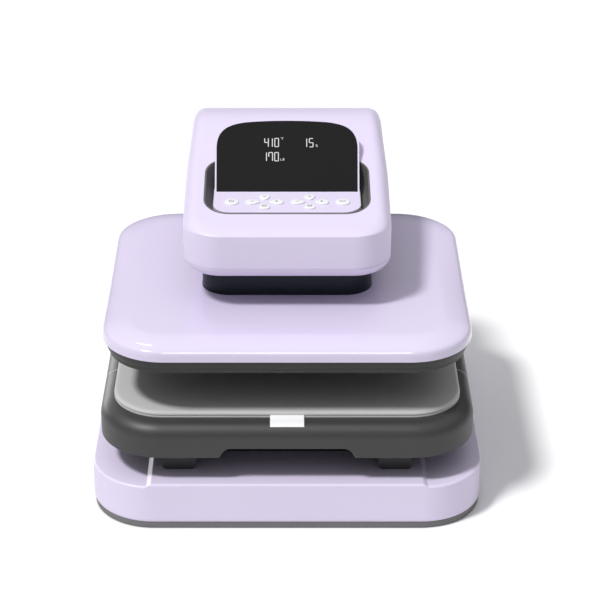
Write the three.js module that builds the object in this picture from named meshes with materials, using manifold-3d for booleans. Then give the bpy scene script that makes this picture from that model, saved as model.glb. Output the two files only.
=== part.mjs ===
// An automatic heat press for crafts: a motor lowers a heated plate onto a drawer that carries the garment.
// Lengths are millimetres. X runs to the right, Y to the back and Z up; the origin is on the table, under
// the middle of the base.
import * as THREE from 'three';
import { mergeVertices } from 'three/addons/utils/BufferGeometryUtils.js';
import Module from 'manifold-3d';

const wasm = await Module();
wasm.setup();

// Driving dimensions
const SEAT_GAP = 0.3;
const CUT_OVERRUN = 2;
const WALL = 3;

// Base
const BASE_WIDTH = 423;
const BASE_CORNER = 68;
const BASE_SIDE = 45.5;
const BASE_TOP_ROUND = 2.5;
const BASE_BOTTOM_ROUND = 5;
const FOOT_HEIGHT = 6.5;
const FOOT_RADIUS = 17;
const FOOT_INSET = 62;
const DECK_RISE = 3;
const DECK_WIDTH = 300;
const DECK_SLOPE_RUN = 5;
const BASE_PLATE_CLEARANCE = 1.2;
const BASE_PLATE_THICKNESS = 9;
const BASE_PLATE_ROUND = 2;

// Drawer
const DRAWER_TRAVEL = 200;
const TRAY_WIDTH = 403;
const TRAY_CORNER = 68;
const TRAY_FRONT_SETBACK = 6.5;
const TRAY_REAR_SETBACK = 4.5;
const TRAY_CLEARANCE = 29;
const TRAY_HEIGHT = 37;
const RIM_ROUND_IN = 17;
const RIM_ROUND_UP = 16;
const PAD_WIDTH = 374.5;
const PAD_REAR_SETBACK = 4.5;
const PAD_CORNER = 56;
const PAD_THICKNESS = 6.5;
const PAD_ROUND = 3.5;
const PAD_FRONT_SETBACK = 21.5;
const LOWER_PLATEN_THICKNESS = 8;
const TRAY_WEB = 5;
const GRIP_WIDTH = 144;
const GRIP_TAPER = 9;
const GRIP_HEIGHT = 11;
const GLIDE_WIDTH = 36;
const GLIDE_DEPTH = 34;
const GLIDE_CORNER = 5;
const GLIDE_SPACING = 232;
const GLIDE_SETBACK = 25.5;
const TAG_WIDTH = 36;
const TAG_REACH = 10.5;
const TAG_RISE = 3.2;
const TAG_THICKNESS = 0.8;
const SEAM_SETBACK = 127;
const SEAM_WIDTH = 1.2;
const SEAM_DEPTH = 1;

// Drawer rails
const RAIL_WIDTH = 26;
const RAIL_HEIGHT = 16;
const RAIL_WALL = 2;
const RAIL_REAR_SETBACK = 26.2;
const RAIL_CLEARANCE = 0.5;
const RAIL_TIE_DEPTH = 6;
const RAIL_TIE_SETBACK = 4;

// Steel frame
const POST_SIZE = 30;
const POST_WALL = 3;
const POST_SPACING = 120;
const ARM_WIDTH = 150;
const ARM_THICKNESS = 7;
const BEAM_THICKNESS = 6;
const BEAM_WIDTH = 60;

// Column cover
const COLUMN_WIDTH = 204;
const COLUMN_DEPTH = 48;
const COLUMN_CORNER = 20;
const COLUMN_BACK_SETBACK = 10;
const COLUMN_CLEARANCE = 1.5;

// Moving press head
const PRESS_TRAVEL = 50;
const COVER_WIDTH = 394;
const COVER_DEPTH = 355.5;
const COVER_CORNER = 69;
const COVER_HEIGHT = 18.6;
const COVER_ROUND_IN = 14;
const COVER_ROUND_UP = 12;
const COVER_FRONT_SETBACK = 15;
const COVER_WALL = 2.6;
const SKIRT_LIP = 1.4;
const SKIRT_HEIGHT = 10.2;
const SKIRT_WALL = 3.2;
const HOT_PLATE_THICKNESS = 12;
const HOT_PLATE_DROP = 16;
const OPEN_GAP = 50;
const ELEMENT_RADIUS = 2.4;
const INSULATION_THICKNESS = 4;
const PRESS_PLATE_THICKNESS = 5;
const PRESS_PLATE_MARGIN = 10;

// Neck between the press head and the control head
const NECK_WIDTH = 186;
const NECK_DEPTH = 142;
const NECK_CORNER = 30;
const NECK_WALL = 2.5;
const NECK_FRONT_SETBACK = 138;
const NECK_OPEN_HEIGHT = 37;
const NECK_RISE = 29;

// Control head
const HEAD_WIDTH = 224;
const HEAD_CORNER = 42;
const HEAD_FRONT_SETBACK = 100;
const HEAD_TRAY_HEIGHT = 11.5;
const HEAD_TRAY_BEVEL = 9;
const HEAD_FRONT_HEIGHT = 39.9;
const HEAD_SLOPE = THREE.MathUtils.degToRad(11.25);
const HEAD_CREST_RUN = 215;
const HEAD_CREST_BEND = 0.00425;
const HEAD_ROUND_IN = 14;
const HEAD_ROUND_UP = 15;
const HEAD_FRONT_ROUND_UP = 3.2;
const HEAD_ROUND_BLEND = 45;

// Control pocket and display
const POCKET_WIDTH = 180;
const POCKET_DEPTH = 107;
const POCKET_CORNER = 28;
const POCKET_SETBACK = 38;
const POCKET_FLOOR_DROP = 0.9;
const POCKET_FLOOR = 3;
const SHELF_WIDTH = 160;
const SHELF_DEPTH = 49.6;
const SHELF_CORNER = 20;
const SHELF_SETBACK = 7;
const SHELF_THICKNESS = 9;
const SHELF_TILT = THREE.MathUtils.degToRad(2.4);
const SCREEN_TILT = THREE.MathUtils.degToRad(30);
const SCREEN_WIDTH = 160;
const SCREEN_LENGTH = 102.2;
const SCREEN_SHOULDER = 42;
const SCREEN_CROWN = 2;
const SCREEN_CROWN_WIDTH = 88;
const SCREEN_TAPER = 1;
const SCREEN_BODY = 26;
const BEZEL = 2;
const GLASS_THICKNESS = 1.6;
const BOARD_THICKNESS = 1.6;
const DISPLAY_BOARD_FOOT = 8;
const DISPLAY_BOARD_LENGTH = 30;

// Buttons
const BUTTON_TRAVEL = 0.8;
const BUTTON_PROUD = 1.5;
const BUTTON_BODY = 4.6;
const BUTTON_CLEARANCE = 0.3;
const ROUND_BUTTON = 16;
const ROUND_BUTTON_OFFSET = 60.2;
const CLUSTER_OFFSET = 24.5;
const PETAL_OFFSET = 13;
const PETAL_ROW_OFFSET = 11.4;
const SIDE_PETAL_WIDTH = 15.8;
const SIDE_PETAL_DEPTH = 12.6;
const END_PETAL_WIDTH = 11.5;
const END_PETAL_DEPTH = 13.6;
const BUTTON_ROW = 24.3;

// Drive
const ROD_RADIUS = 9;
const ACTUATOR_RADIUS = 22;
const GUIDE_ROD_RADIUS = 7;
const GUIDE_BUSH_RADIUS = 13;
const GUIDE_SPACING = 120;
const RUNNING_CLEARANCE = 0.35;
const MOTOR_RADIUS = 20;
const GEARBOX_WIDTH = 46;
const GEARBOX_DEPTH = 58;
const GEARBOX_HEIGHT = 14;
const POWER_BOARD_WIDTH = 120;
const POWER_BOARD_DEPTH = 70;
const POWER_BOARD_THICKNESS = 6;

// Mains inlet and switch
const INLET_WIDTH = 28;
const INLET_HEIGHT = 21;
const INLET_DEPTH = 18;
const PIN_LENGTH = 7;
const ROCKER_WIDTH = 22;
const ROCKER_HEIGHT = 15;
const ROCKER_PROUD = 3.5;
const ROCKER_CLEARANCE = 1;
const FLANGE = 4;
const FLANGE_THICKNESS = 1.6;
const VENT_SLOT_WIDTH = 4;
const VENT_SLOT_HEIGHT = 34;
const VENT_PITCH = 9;
const VENT_COUNT = 9;
const SOCKET_RISE = 29;
const VENT_RISE = 46;

// Finish of each material
const MATERIALS = {
  lilac: { color: 0xd9cdea, roughness: 0.35, metalness: 0 },
  glossLilac: { color: 0xdccff0, roughness: 0.12, metalness: 0 },
  charcoal: { color: 0x4a4a4a, roughness: 0.5, metalness: 0 },
  navy: { color: 0x1d2330, roughness: 0.4, metalness: 0 },
  rubber: { color: 0x2a2a2a, roughness: 0.9, metalness: 0 },
  silicone: { color: 0xc6c6c4, roughness: 0.7, metalness: 0 },
  white: { color: 0xf4f4f2, roughness: 0.4, metalness: 0 },
  glass: { color: 0x0a0a0c, roughness: 0.08, metalness: 0 },
  steel: { color: 0x8d9096, roughness: 0.4, metalness: 0.9 },
  aluminium: { color: 0xb8babd, roughness: 0.35, metalness: 0.9 },
  board: { color: 0x1f5a38, roughness: 0.6, metalness: 0 },
  insulation: { color: 0xe8e2d0, roughness: 0.9, metalness: 0 },
};

// Heights and places that follow from the driving dimensions
const BASE_DEPTH = COVER_FRONT_SETBACK + COVER_DEPTH + COLUMN_CLEARANCE + COLUMN_DEPTH + COLUMN_BACK_SETBACK;
const TRAY_DEPTH = COVER_FRONT_SETBACK + COVER_DEPTH - TRAY_FRONT_SETBACK - TRAY_REAR_SETBACK;
const PAD_DEPTH = TRAY_DEPTH - PAD_FRONT_SETBACK - PAD_REAR_SETBACK;
const RAIL_LENGTH = TRAY_DEPTH - GLIDE_SETBACK - GLIDE_DEPTH - SEAT_GAP - RAIL_REAR_SETBACK;
const HEAD_DEPTH = BASE_DEPTH - HEAD_FRONT_SETBACK - COLUMN_BACK_SETBACK;
const BASE_FRONT = -BASE_DEPTH / 2;
const BASE_BACK = BASE_DEPTH / 2;
const BASE_TOP = FOOT_HEIGHT + BASE_SIDE;
const DECK_TOP = BASE_TOP + DECK_RISE;
const TRAY_FRONT = BASE_FRONT + TRAY_FRONT_SETBACK;
const TRAY_BOTTOM = DECK_TOP + TRAY_CLEARANCE;
const TRAY_TOP = TRAY_BOTTOM + TRAY_HEIGHT;
const PLATEN_SEAT = TRAY_TOP - LOWER_PLATEN_THICKNESS - SEAT_GAP;
const TRAY_WEB_BOTTOM = PLATEN_SEAT - TRAY_WEB;
const PAD_TOP = TRAY_TOP + PAD_THICKNESS;
const HOT_PLATE_BOTTOM = PAD_TOP + OPEN_GAP;
const COVER_EDGE = HOT_PLATE_BOTTOM + HOT_PLATE_DROP;
const COVER_TOP = COVER_EDGE + COVER_HEIGHT;
const COVER_FRONT = BASE_FRONT + COVER_FRONT_SETBACK;
const HEAD_BOTTOM = COVER_TOP + NECK_OPEN_HEIGHT;
const HEAD_SEAM = HEAD_BOTTOM + HEAD_TRAY_HEIGHT;
const HEAD_FRONT = BASE_FRONT + HEAD_FRONT_SETBACK;
const HEAD_CREASE = HEAD_SEAM + HEAD_FRONT_HEIGHT;
const COLUMN_BACK = BASE_BACK - COLUMN_BACK_SETBACK;
const COLUMN_CENTER = COLUMN_BACK - COLUMN_DEPTH / 2;
const NECK_TOP = HEAD_BOTTOM + NECK_RISE;
const ARM_BOTTOM = NECK_TOP + SEAT_GAP;
const ARM_TOP = ARM_BOTTOM + ARM_THICKNESS;
const POCKET_FRONT = HEAD_FRONT + POCKET_SETBACK;

// Number of steps in each round stretch
const CORNER_STEPS = 6;
const EDGE_STEPS = 4;
const SIDE_STEPS = 4;
const ROUND_STEPS = 24;
const TAG_STEPS = 6;

// Solids

function toSolid(geometry) {
  const bare = geometry.index ? geometry.toNonIndexed() : geometry.clone();
  bare.deleteAttribute('normal');
  bare.deleteAttribute('uv');
  const merged = mergeVertices(bare);
  return new wasm.Manifold(new wasm.Mesh({
    numProp: 3,
    vertProperties: new Float32Array(merged.attributes.position.array),
    triVerts: new Uint32Array(merged.index.array),
  }));
}

function toGeometry(solid) {
  const mesh = solid.getMesh();
  const geometry = new THREE.BufferGeometry();
  const points = new Float32Array(mesh.numVert * 3);
  for (let i = 0; i < mesh.numVert; i += 1) {
    for (let k = 0; k < 3; k += 1) points[3 * i + k] = mesh.vertProperties[mesh.numProp * i + k];
  }
  geometry.setAttribute('position', new THREE.BufferAttribute(points, 3));
  geometry.setIndex(new THREE.BufferAttribute(new Uint32Array(mesh.triVerts), 1));
  return geometry;
}

function cut(solid, ...tools) {
  return tools.reduce((left, tool) => left.subtract(tool), solid);
}

function join(...solids) {
  return solids.reduce((all, solid) => all.add(solid));
}

function box(width, depth, height, x, y, z) {
  const geometry = new THREE.BoxGeometry(width, depth, height);
  geometry.translate(x, y, z + height / 2);
  return geometry;
}

function post(radius, height, x, y, z, steps = ROUND_STEPS) {
  const geometry = new THREE.CylinderGeometry(radius, radius, height, steps);
  geometry.rotateX(Math.PI / 2);
  geometry.translate(x, y, z + height / 2);
  return geometry;
}

// Plans: a plan is a rounded rectangle, symmetric about X = 0

function plan(width, depth, radius, front) {
  return { width, depth, radius, front };
}

function shrink(outline, amount) {
  return {
    width: outline.width - 2 * amount,
    depth: outline.depth - 2 * amount,
    radius: Math.max(outline.radius - amount, WALL),
    front: outline.front + amount,
  };
}

// The right half of a plan's outline, from front to back, at the height that heightAt gives for each Y
function halfRing(outline, heightAt) {
  const half = outline.width / 2;
  const { radius, front, depth } = outline;
  const points = [];
  const corner = (centerY, from) => {
    for (let i = 0; i <= CORNER_STEPS; i += 1) {
      const angle = from + (i / CORNER_STEPS) * Math.PI / 2;
      points.push([half - radius + radius * Math.cos(angle), centerY + radius * Math.sin(angle)]);
    }
  };
  corner(front + radius, -Math.PI / 2);
  const start = front + radius;
  const run = depth - 2 * radius;
  for (let i = 1; i < SIDE_STEPS; i += 1) points.push([half, start + run * i / SIDE_STEPS]);
  corner(front + depth - radius, 0);
  return points.map(([x, y]) => [x, y, heightAt(y)]);
}

// A closed solid through a stack of rings; every level is [outline, height or height function]
function loft(levels) {
  const rings = levels.map(([outline, height]) => {
    const right = halfRing(outline, typeof height === 'function' ? height : () => height);
    const left = right.map(([x, y, z]) => [-x, y, z]).reverse();
    return [...right, ...left];
  });
  const count = rings[0].length;
  const index = [];
  for (let level = 0; level + 1 < rings.length; level += 1) {
    for (let i = 0; i < count; i += 1) {
      const a = level * count + i;
      const b = level * count + (i + 1) % count;
      index.push(a, b, b + count, a, b + count, a + count);
    }
  }
  const last = (rings.length - 1) * count;
  for (let i = 0; i + 1 < count / 2; i += 1) {
    const mirror = count - 1 - i;
    index.push(i, mirror, mirror - 1, i, mirror - 1, i + 1);
    index.push(last + i, last + mirror - 1, last + mirror, last + i, last + i + 1, last + mirror - 1);
  }
  const geometry = new THREE.BufferGeometry();
  geometry.setAttribute('position', new THREE.Float32BufferAttribute(rings.flat(2), 3));
  geometry.setIndex(index);
  return geometry;
}

// Levels of a body whose bottom and top edges are rounded
function roundedLevels(outline, bottom, top, bottomRound, roundIn, roundUp, lift = () => 0) {
  const levels = [];
  const at = (height) => (y) => height + lift(y);
  for (let i = 0; i <= EDGE_STEPS && bottomRound > 0; i += 1) {
    const angle = (i / EDGE_STEPS) * Math.PI / 2;
    const rise = bottom + bottomRound * (1 - Math.cos(angle));
    levels.push([shrink(outline, bottomRound * (1 - Math.sin(angle))), rise]);
  }
  if (levels.length === 0) levels.push([outline, bottom]);
  for (let i = 0; i <= EDGE_STEPS && roundUp > 0; i += 1) {
    const angle = (i / EDGE_STEPS) * Math.PI / 2;
    const height = top - roundUp * (1 - Math.sin(angle));
    levels.push([shrink(outline, roundIn * (1 - Math.cos(angle))), at(height)]);
  }
  if (roundUp === 0) levels.push([outline, at(top)]);
  return levels;
}

function prism(outline, bottom, top) {
  return loft([[outline, bottom], [outline, top]]);
}

// A side view drawn in Y and Z, carried across the width
function sideProfile(points, width) {
  const shape = new THREE.Shape(points.map(([y, z]) => new THREE.Vector2(y, z)));
  const geometry = new THREE.ExtrudeGeometry(shape, { depth: width, bevelEnabled: false });
  geometry.translate(0, 0, -width / 2);
  geometry.rotateX(Math.PI / 2);
  geometry.rotateZ(Math.PI / 2);
  return geometry;
}

// A front view drawn in X and Z, carried back along Y
function frontProfile(points, depth, front) {
  const shape = new THREE.Shape(points.map(([x, z]) => new THREE.Vector2(x, z)));
  const geometry = new THREE.ExtrudeGeometry(shape, { depth, bevelEnabled: false });
  geometry.rotateX(Math.PI / 2);
  geometry.translate(0, front + depth, 0);
  return geometry;
}

// Scene helpers

const press = new THREE.Group();

function material(name) {
  return new THREE.MeshStandardMaterial(MATERIALS[name]);
}

function addPiece(parent, name, geometry, finish, position = [0, 0, 0]) {
  const shown = geometry.isBufferGeometry ? geometry : toGeometry(geometry);
  const mesh = new THREE.Mesh(shown, material(finish));
  mesh.name = name;
  mesh.position.set(...position);
  parent.add(mesh);
  return mesh;
}

function addGroup(position = [0, 0, 0], tilt = 0) {
  const group = new THREE.Group();
  group.position.set(...position);
  group.rotation.x = tilt;
  press.add(group);
  return group;
}

// Base: a lilac shell over a steel plate, on four rubber feet

const basePlan = plan(BASE_WIDTH, BASE_DEPTH, BASE_CORNER, BASE_FRONT);
const columnPlan = plan(COLUMN_WIDTH, COLUMN_DEPTH, COLUMN_CORNER, COLUMN_BACK - COLUMN_DEPTH);

function buildBaseShell() {
  const side = (top) => toSolid(loft(roundedLevels(
    basePlan, FOOT_HEIGHT, top, BASE_BOTTOM_ROUND, BASE_TOP_ROUND, BASE_TOP_ROUND)));
  const halfDeck = DECK_WIDTH / 2;
  const deckBlock = toSolid(frontProfile([
    [-halfDeck, BASE_TOP - BASE_TOP_ROUND],
    [halfDeck, BASE_TOP - BASE_TOP_ROUND],
    [halfDeck, BASE_TOP],
    [halfDeck - DECK_SLOPE_RUN, DECK_TOP + CUT_OVERRUN * DECK_RISE / DECK_SLOPE_RUN],
    [-halfDeck + DECK_SLOPE_RUN, DECK_TOP + CUT_OVERRUN * DECK_RISE / DECK_SLOPE_RUN],
    [-halfDeck, BASE_TOP],
  ], BASE_DEPTH, BASE_FRONT));
  const deck = side(DECK_TOP).intersect(deckBlock);
  const inside = toSolid(prism(shrink(basePlan, WALL + BASE_BOTTOM_ROUND),
    FOOT_HEIGHT - CUT_OVERRUN, BASE_TOP - WALL));
  const postSlots = [-1, 1].map((side2) => toSolid(box(
    POST_SIZE + 2 * SEAT_GAP, POST_SIZE + 2 * SEAT_GAP, BASE_SIDE,
    side2 * POST_SPACING / 2, COLUMN_CENTER, BASE_TOP - BASE_SIDE / 2)));
  return cut(join(side(BASE_TOP), deck), inside, ...postSlots);
}

function buildFoot() {
  return new THREE.LatheGeometry([
    new THREE.Vector2(0, 0),
    new THREE.Vector2(FOOT_RADIUS - FOOT_HEIGHT / 4, 0),
    new THREE.Vector2(FOOT_RADIUS, FOOT_HEIGHT / 4),
    new THREE.Vector2(FOOT_RADIUS, FOOT_HEIGHT - SEAT_GAP),
    new THREE.Vector2(0, FOOT_HEIGHT - SEAT_GAP),
  ], ROUND_STEPS).rotateX(Math.PI / 2);
}

function addBase() {
  const group = addGroup();
  addPiece(group, 'base_shell', buildBaseShell(), 'lilac');
  const platePlan = shrink(basePlan, WALL + BASE_BOTTOM_ROUND + SEAT_GAP);
  const footSeats = [];
  const footX = BASE_WIDTH / 2 - FOOT_INSET;
  const footY = BASE_DEPTH / 2 - FOOT_INSET;
  for (const [name, x, y] of [
    ['foot_front_left', -footX, -footY], ['foot_front_right', footX, -footY],
    ['foot_rear_left', -footX, footY], ['foot_rear_right', footX, footY],
  ]) {
    addPiece(group, name, buildFoot(), 'rubber', [x, y, 0]);
    footSeats.push(toSolid(post(FOOT_RADIUS + SEAT_GAP, FOOT_HEIGHT, x, y, 0)));
  }
  const plate = toSolid(loft([
    [shrink(platePlan, BASE_PLATE_ROUND), BASE_PLATE_CLEARANCE],
    [platePlan, BASE_PLATE_CLEARANCE + BASE_PLATE_ROUND],
    [platePlan, BASE_PLATE_CLEARANCE + BASE_PLATE_THICKNESS],
  ]));
  addPiece(group, 'base_plate', cut(plate, ...footSeats), 'charcoal');
}

// Steel frame: two beams in the base, two posts in the column and one arm in the head

function addFrame() {
  const group = addGroup();
  const beamBottom = BASE_PLATE_CLEARANCE + BASE_PLATE_THICKNESS + SEAT_GAP;
  const beamFront = BASE_FRONT + BASE_CORNER;
  const postBack = COLUMN_CENTER + POST_SIZE / 2;
  const beamDepth = postBack - beamFront;
  const postBottom = beamBottom + BEAM_THICKNESS + SEAT_GAP;
  for (const [side, sign] of [['left', -1], ['right', 1]]) {
    const x = sign * POST_SPACING / 2;
    addPiece(group, `base_beam_${side}`,
      box(BEAM_WIDTH, beamDepth, BEAM_THICKNESS, 0, 0, 0), 'steel',
      [x, beamFront + beamDepth / 2, beamBottom]);
    const postHeight = ARM_BOTTOM - SEAT_GAP - postBottom;
    const bore = POST_SIZE - 2 * POST_WALL;
    const tube = cut(toSolid(box(POST_SIZE, POST_SIZE, postHeight, 0, 0, 0)),
      toSolid(box(bore, bore, postHeight + 2 * CUT_OVERRUN, 0, 0, -CUT_OVERRUN)));
    addPiece(group, `column_post_${side}`, tube, 'steel', [x, COLUMN_CENTER, postBottom]);
  }
  const armFront = neckPlan.front + NECK_WALL;
  const armDepth = postBack - armFront;
  addPiece(group, 'head_arm', box(ARM_WIDTH, armDepth, ARM_THICKNESS, 0, 0, 0), 'steel',
    [0, armFront + armDepth / 2, ARM_BOTTOM]);
}

// Column cover, with the mains inlet, the power switch and the vents in its back

function rearOpening(width, height, x, z) {
  return toSolid(box(width, WALL + 2 * CUT_OVERRUN, height, x, COLUMN_BACK - WALL / 2, z));
}

const INLET_X = 21;
const ROCKER_X = -21;
const SOCKET_Z = DECK_TOP + SOCKET_RISE;
const VENT_Z = SOCKET_Z + INLET_HEIGHT + VENT_RISE;
const ROCKER_ROLL = THREE.MathUtils.degToRad(7);

function buildRocker() {
  const half = ROCKER_HEIGHT / 2 - FLANGE_THICKNESS - ROCKER_CLEARANCE;
  return sideProfile([
    [-WALL - FLANGE_THICKNESS, -half], [ROCKER_PROUD, -half], [ROCKER_PROUD / 2, 0], [ROCKER_PROUD, half],
    [-WALL - FLANGE_THICKNESS, half],
  ], ROCKER_WIDTH - 2 * FLANGE_THICKNESS - 2 * SEAT_GAP);
}

function addColumn() {
  const group = addGroup();
  const bottom = DECK_TOP + SEAT_GAP;
  const top = HEAD_BOTTOM - SEAT_GAP;
  const outer = toSolid(prism(columnPlan, bottom, top));
  const hollow = toSolid(prism(shrink(columnPlan, WALL), bottom - CUT_OVERRUN, top + CUT_OVERRUN));
  const vents = [];
  for (let i = 0; i < VENT_COUNT; i += 1) {
    vents.push(rearOpening(VENT_SLOT_WIDTH, VENT_SLOT_HEIGHT, (i - (VENT_COUNT - 1) / 2) * VENT_PITCH, VENT_Z));
  }
  const sockets = [
    rearOpening(INLET_WIDTH + 2 * SEAT_GAP, INLET_HEIGHT + 2 * SEAT_GAP, INLET_X, SOCKET_Z - SEAT_GAP),
    rearOpening(ROCKER_WIDTH + 2 * SEAT_GAP, ROCKER_HEIGHT + 2 * SEAT_GAP, ROCKER_X, SOCKET_Z - SEAT_GAP),
  ];
  addPiece(group, 'column_cover', cut(outer, hollow, ...vents, ...sockets), 'lilac');

  const inletBody = toSolid(box(INLET_WIDTH, INLET_DEPTH, INLET_HEIGHT, 0, -INLET_DEPTH / 2, 0));
  const inletFlange = toSolid(box(INLET_WIDTH + 2 * FLANGE, FLANGE_THICKNESS, INLET_HEIGHT + 2 * FLANGE,
    0, SEAT_GAP + FLANGE_THICKNESS / 2, -FLANGE));
  const bridge = toSolid(box(INLET_WIDTH, 2 * SEAT_GAP, INLET_HEIGHT, 0, 0, 0));
  const socket = toSolid(box(INLET_WIDTH - 2 * FLANGE_THICKNESS, INLET_DEPTH, INLET_HEIGHT - 2 * FLANGE_THICKNESS,
    0, FLANGE_THICKNESS - INLET_DEPTH / 2 + CUT_OVERRUN, FLANGE_THICKNESS));
  const pins = [-1, 0, 1].map((place) => toSolid(box(FLANGE_THICKNESS, PIN_LENGTH, FLANGE,
    place * INLET_WIDTH / 4, WALL + PIN_LENGTH / 2 - INLET_DEPTH, INLET_HEIGHT / 2 - (place === 0 ? 0 : FLANGE))));
  addPiece(group, 'power_inlet', join(cut(join(inletBody, inletFlange, bridge), socket), ...pins), 'charcoal',
    [INLET_X, COLUMN_BACK, SOCKET_Z]);

  const frameBody = toSolid(box(ROCKER_WIDTH, WALL + FLANGE, ROCKER_HEIGHT, 0, -(WALL + FLANGE) / 2, 0));
  const frameFlange = toSolid(box(ROCKER_WIDTH + FLANGE, FLANGE_THICKNESS, ROCKER_HEIGHT + FLANGE,
    0, SEAT_GAP + FLANGE_THICKNESS / 2, -FLANGE / 2));
  const frameBridge = toSolid(box(ROCKER_WIDTH, 2 * SEAT_GAP, ROCKER_HEIGHT, 0, 0, 0));
  const frameHole = toSolid(box(ROCKER_WIDTH - 2 * FLANGE_THICKNESS, 4 * (WALL + FLANGE),
    ROCKER_HEIGHT - 2 * FLANGE_THICKNESS, 0, 0, FLANGE_THICKNESS));
  addPiece(group, 'switch_frame', cut(join(frameBody, frameFlange, frameBridge), frameHole), 'charcoal',
    [ROCKER_X, COLUMN_BACK, SOCKET_Z]);
  const rocker = addGroup([ROCKER_X, COLUMN_BACK + FLANGE_THICKNESS, SOCKET_Z + ROCKER_HEIGHT / 2], ROCKER_ROLL);
  addPiece(rocker, 'power_rocker', buildRocker(), 'rubber');
}

// Drawer: a charcoal tray on glides and rails, with an aluminium plate and a silicone pad

const trayPlan = plan(TRAY_WIDTH, TRAY_DEPTH, TRAY_CORNER, TRAY_FRONT);
const padPlan = plan(PAD_WIDTH, PAD_DEPTH, PAD_CORNER, TRAY_FRONT + PAD_FRONT_SETBACK);

function buildTray() {
  const outerLevels = roundedLevels(trayPlan, TRAY_BOTTOM, TRAY_TOP, 0, RIM_ROUND_IN, RIM_ROUND_UP);
  const outer = toSolid(loft(outerLevels));
  const recess = toSolid(prism(shrink(padPlan, -SEAT_GAP), PLATEN_SEAT, TRAY_TOP + CUT_OVERRUN));
  const cavity = toSolid(prism(shrink(trayPlan, RIM_ROUND_IN / 2 + WALL),
    TRAY_BOTTOM - CUT_OVERRUN, TRAY_WEB_BOTTOM));
  const half = GRIP_WIDTH / 2;
  const grip = toSolid(frontProfile([
    [-half, TRAY_BOTTOM - CUT_OVERRUN], [half, TRAY_BOTTOM - CUT_OVERRUN], [half, TRAY_BOTTOM],
    [half - GRIP_TAPER, TRAY_BOTTOM + GRIP_HEIGHT], [-half + GRIP_TAPER, TRAY_BOTTOM + GRIP_HEIGHT],
    [-half, TRAY_BOTTOM],
  ], TRAY_CORNER / 2, TRAY_FRONT - CUT_OVERRUN));
  const seamBand = toSolid(box(TRAY_WIDTH + 2 * CUT_OVERRUN, SEAM_WIDTH, TRAY_HEIGHT + 2 * CUT_OVERRUN,
    0, TRAY_FRONT + SEAM_SETBACK, TRAY_BOTTOM - CUT_OVERRUN));
  const core = toSolid(loft(outerLevels.map(([outline, height]) => [shrink(outline, SEAM_DEPTH), height])));
  return cut(outer, recess, cavity, grip, cut(seamBand, core));
}

function buildGlide() {
  const shape = new THREE.Shape();
  const half = GLIDE_WIDTH / 2;
  const height = TRAY_WEB_BOTTOM - DECK_TOP - 2 * SEAT_GAP;
  shape.moveTo(-half, height);
  shape.lineTo(-half, GLIDE_CORNER);
  shape.absarc(-half + GLIDE_CORNER, GLIDE_CORNER, GLIDE_CORNER, Math.PI, 1.5 * Math.PI, false);
  shape.absarc(half - GLIDE_CORNER, GLIDE_CORNER, GLIDE_CORNER, -Math.PI / 2, 0, false);
  shape.lineTo(half, height);
  const geometry = new THREE.ExtrudeGeometry(shape, { depth: GLIDE_DEPTH, bevelEnabled: false, curveSegments: 5 });
  return geometry.rotateX(Math.PI / 2).translate(0, GLIDE_DEPTH, 0);
}

// The tag leaves the pad's side and lies over the tray's rounded rim
function buildTag() {
  const padFront = TRAY_FRONT + PAD_FRONT_SETBACK;
  const under = [[padFront - SEAT_GAP, TRAY_TOP + TAG_RISE], [padFront - TAG_THICKNESS * 2, TRAY_TOP + SEAT_GAP * 2]];
  for (let i = 0; i <= TAG_STEPS; i += 1) {
    const inset = RIM_ROUND_IN - TAG_REACH * i / TAG_STEPS;
    const sine = Math.sqrt(1 - (1 - inset / RIM_ROUND_IN) ** 2);
    under.push([TRAY_FRONT + inset, TRAY_TOP + SEAT_GAP * 1.2 - RIM_ROUND_UP * (1 - sine)]);
  }
  const over = under.map(([y, z]) => [y, z + TAG_THICKNESS]).reverse();
  return sideProfile([...under, ...over], TAG_WIDTH);
}

function buildRail() {
  const outer = toSolid(box(RAIL_WIDTH, RAIL_LENGTH, RAIL_HEIGHT, 0, 0, 0));
  const inner = RAIL_WIDTH - 2 * RAIL_WALL;
  const channel = toSolid(box(inner, RAIL_LENGTH + 2 * CUT_OVERRUN, RAIL_HEIGHT - 2 * RAIL_WALL, 0, 0, RAIL_WALL));
  const mouth = toSolid(box(inner / 2, RAIL_LENGTH + 2 * CUT_OVERRUN, RAIL_HEIGHT, 0, 0, RAIL_WALL));
  return cut(outer, channel, mouth);
}

function buildSlider() {
  const inner = RAIL_WIDTH - 2 * RAIL_WALL;
  const foot = toSolid(box(inner - 2 * RAIL_CLEARANCE, RAIL_LENGTH, RAIL_HEIGHT - 2 * RAIL_WALL - 2 * RAIL_CLEARANCE,
    0, 0, RAIL_WALL + RAIL_CLEARANCE));
  const stemHeight = TRAY_WEB_BOTTOM - DECK_TOP - RAIL_WALL - RAIL_CLEARANCE - 2 * SEAT_GAP;
  const stem = toSolid(box(inner / 2 - 2 * RAIL_CLEARANCE, RAIL_LENGTH, stemHeight, 0, 0, RAIL_WALL + RAIL_CLEARANCE));
  return join(foot, stem);
}

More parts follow.
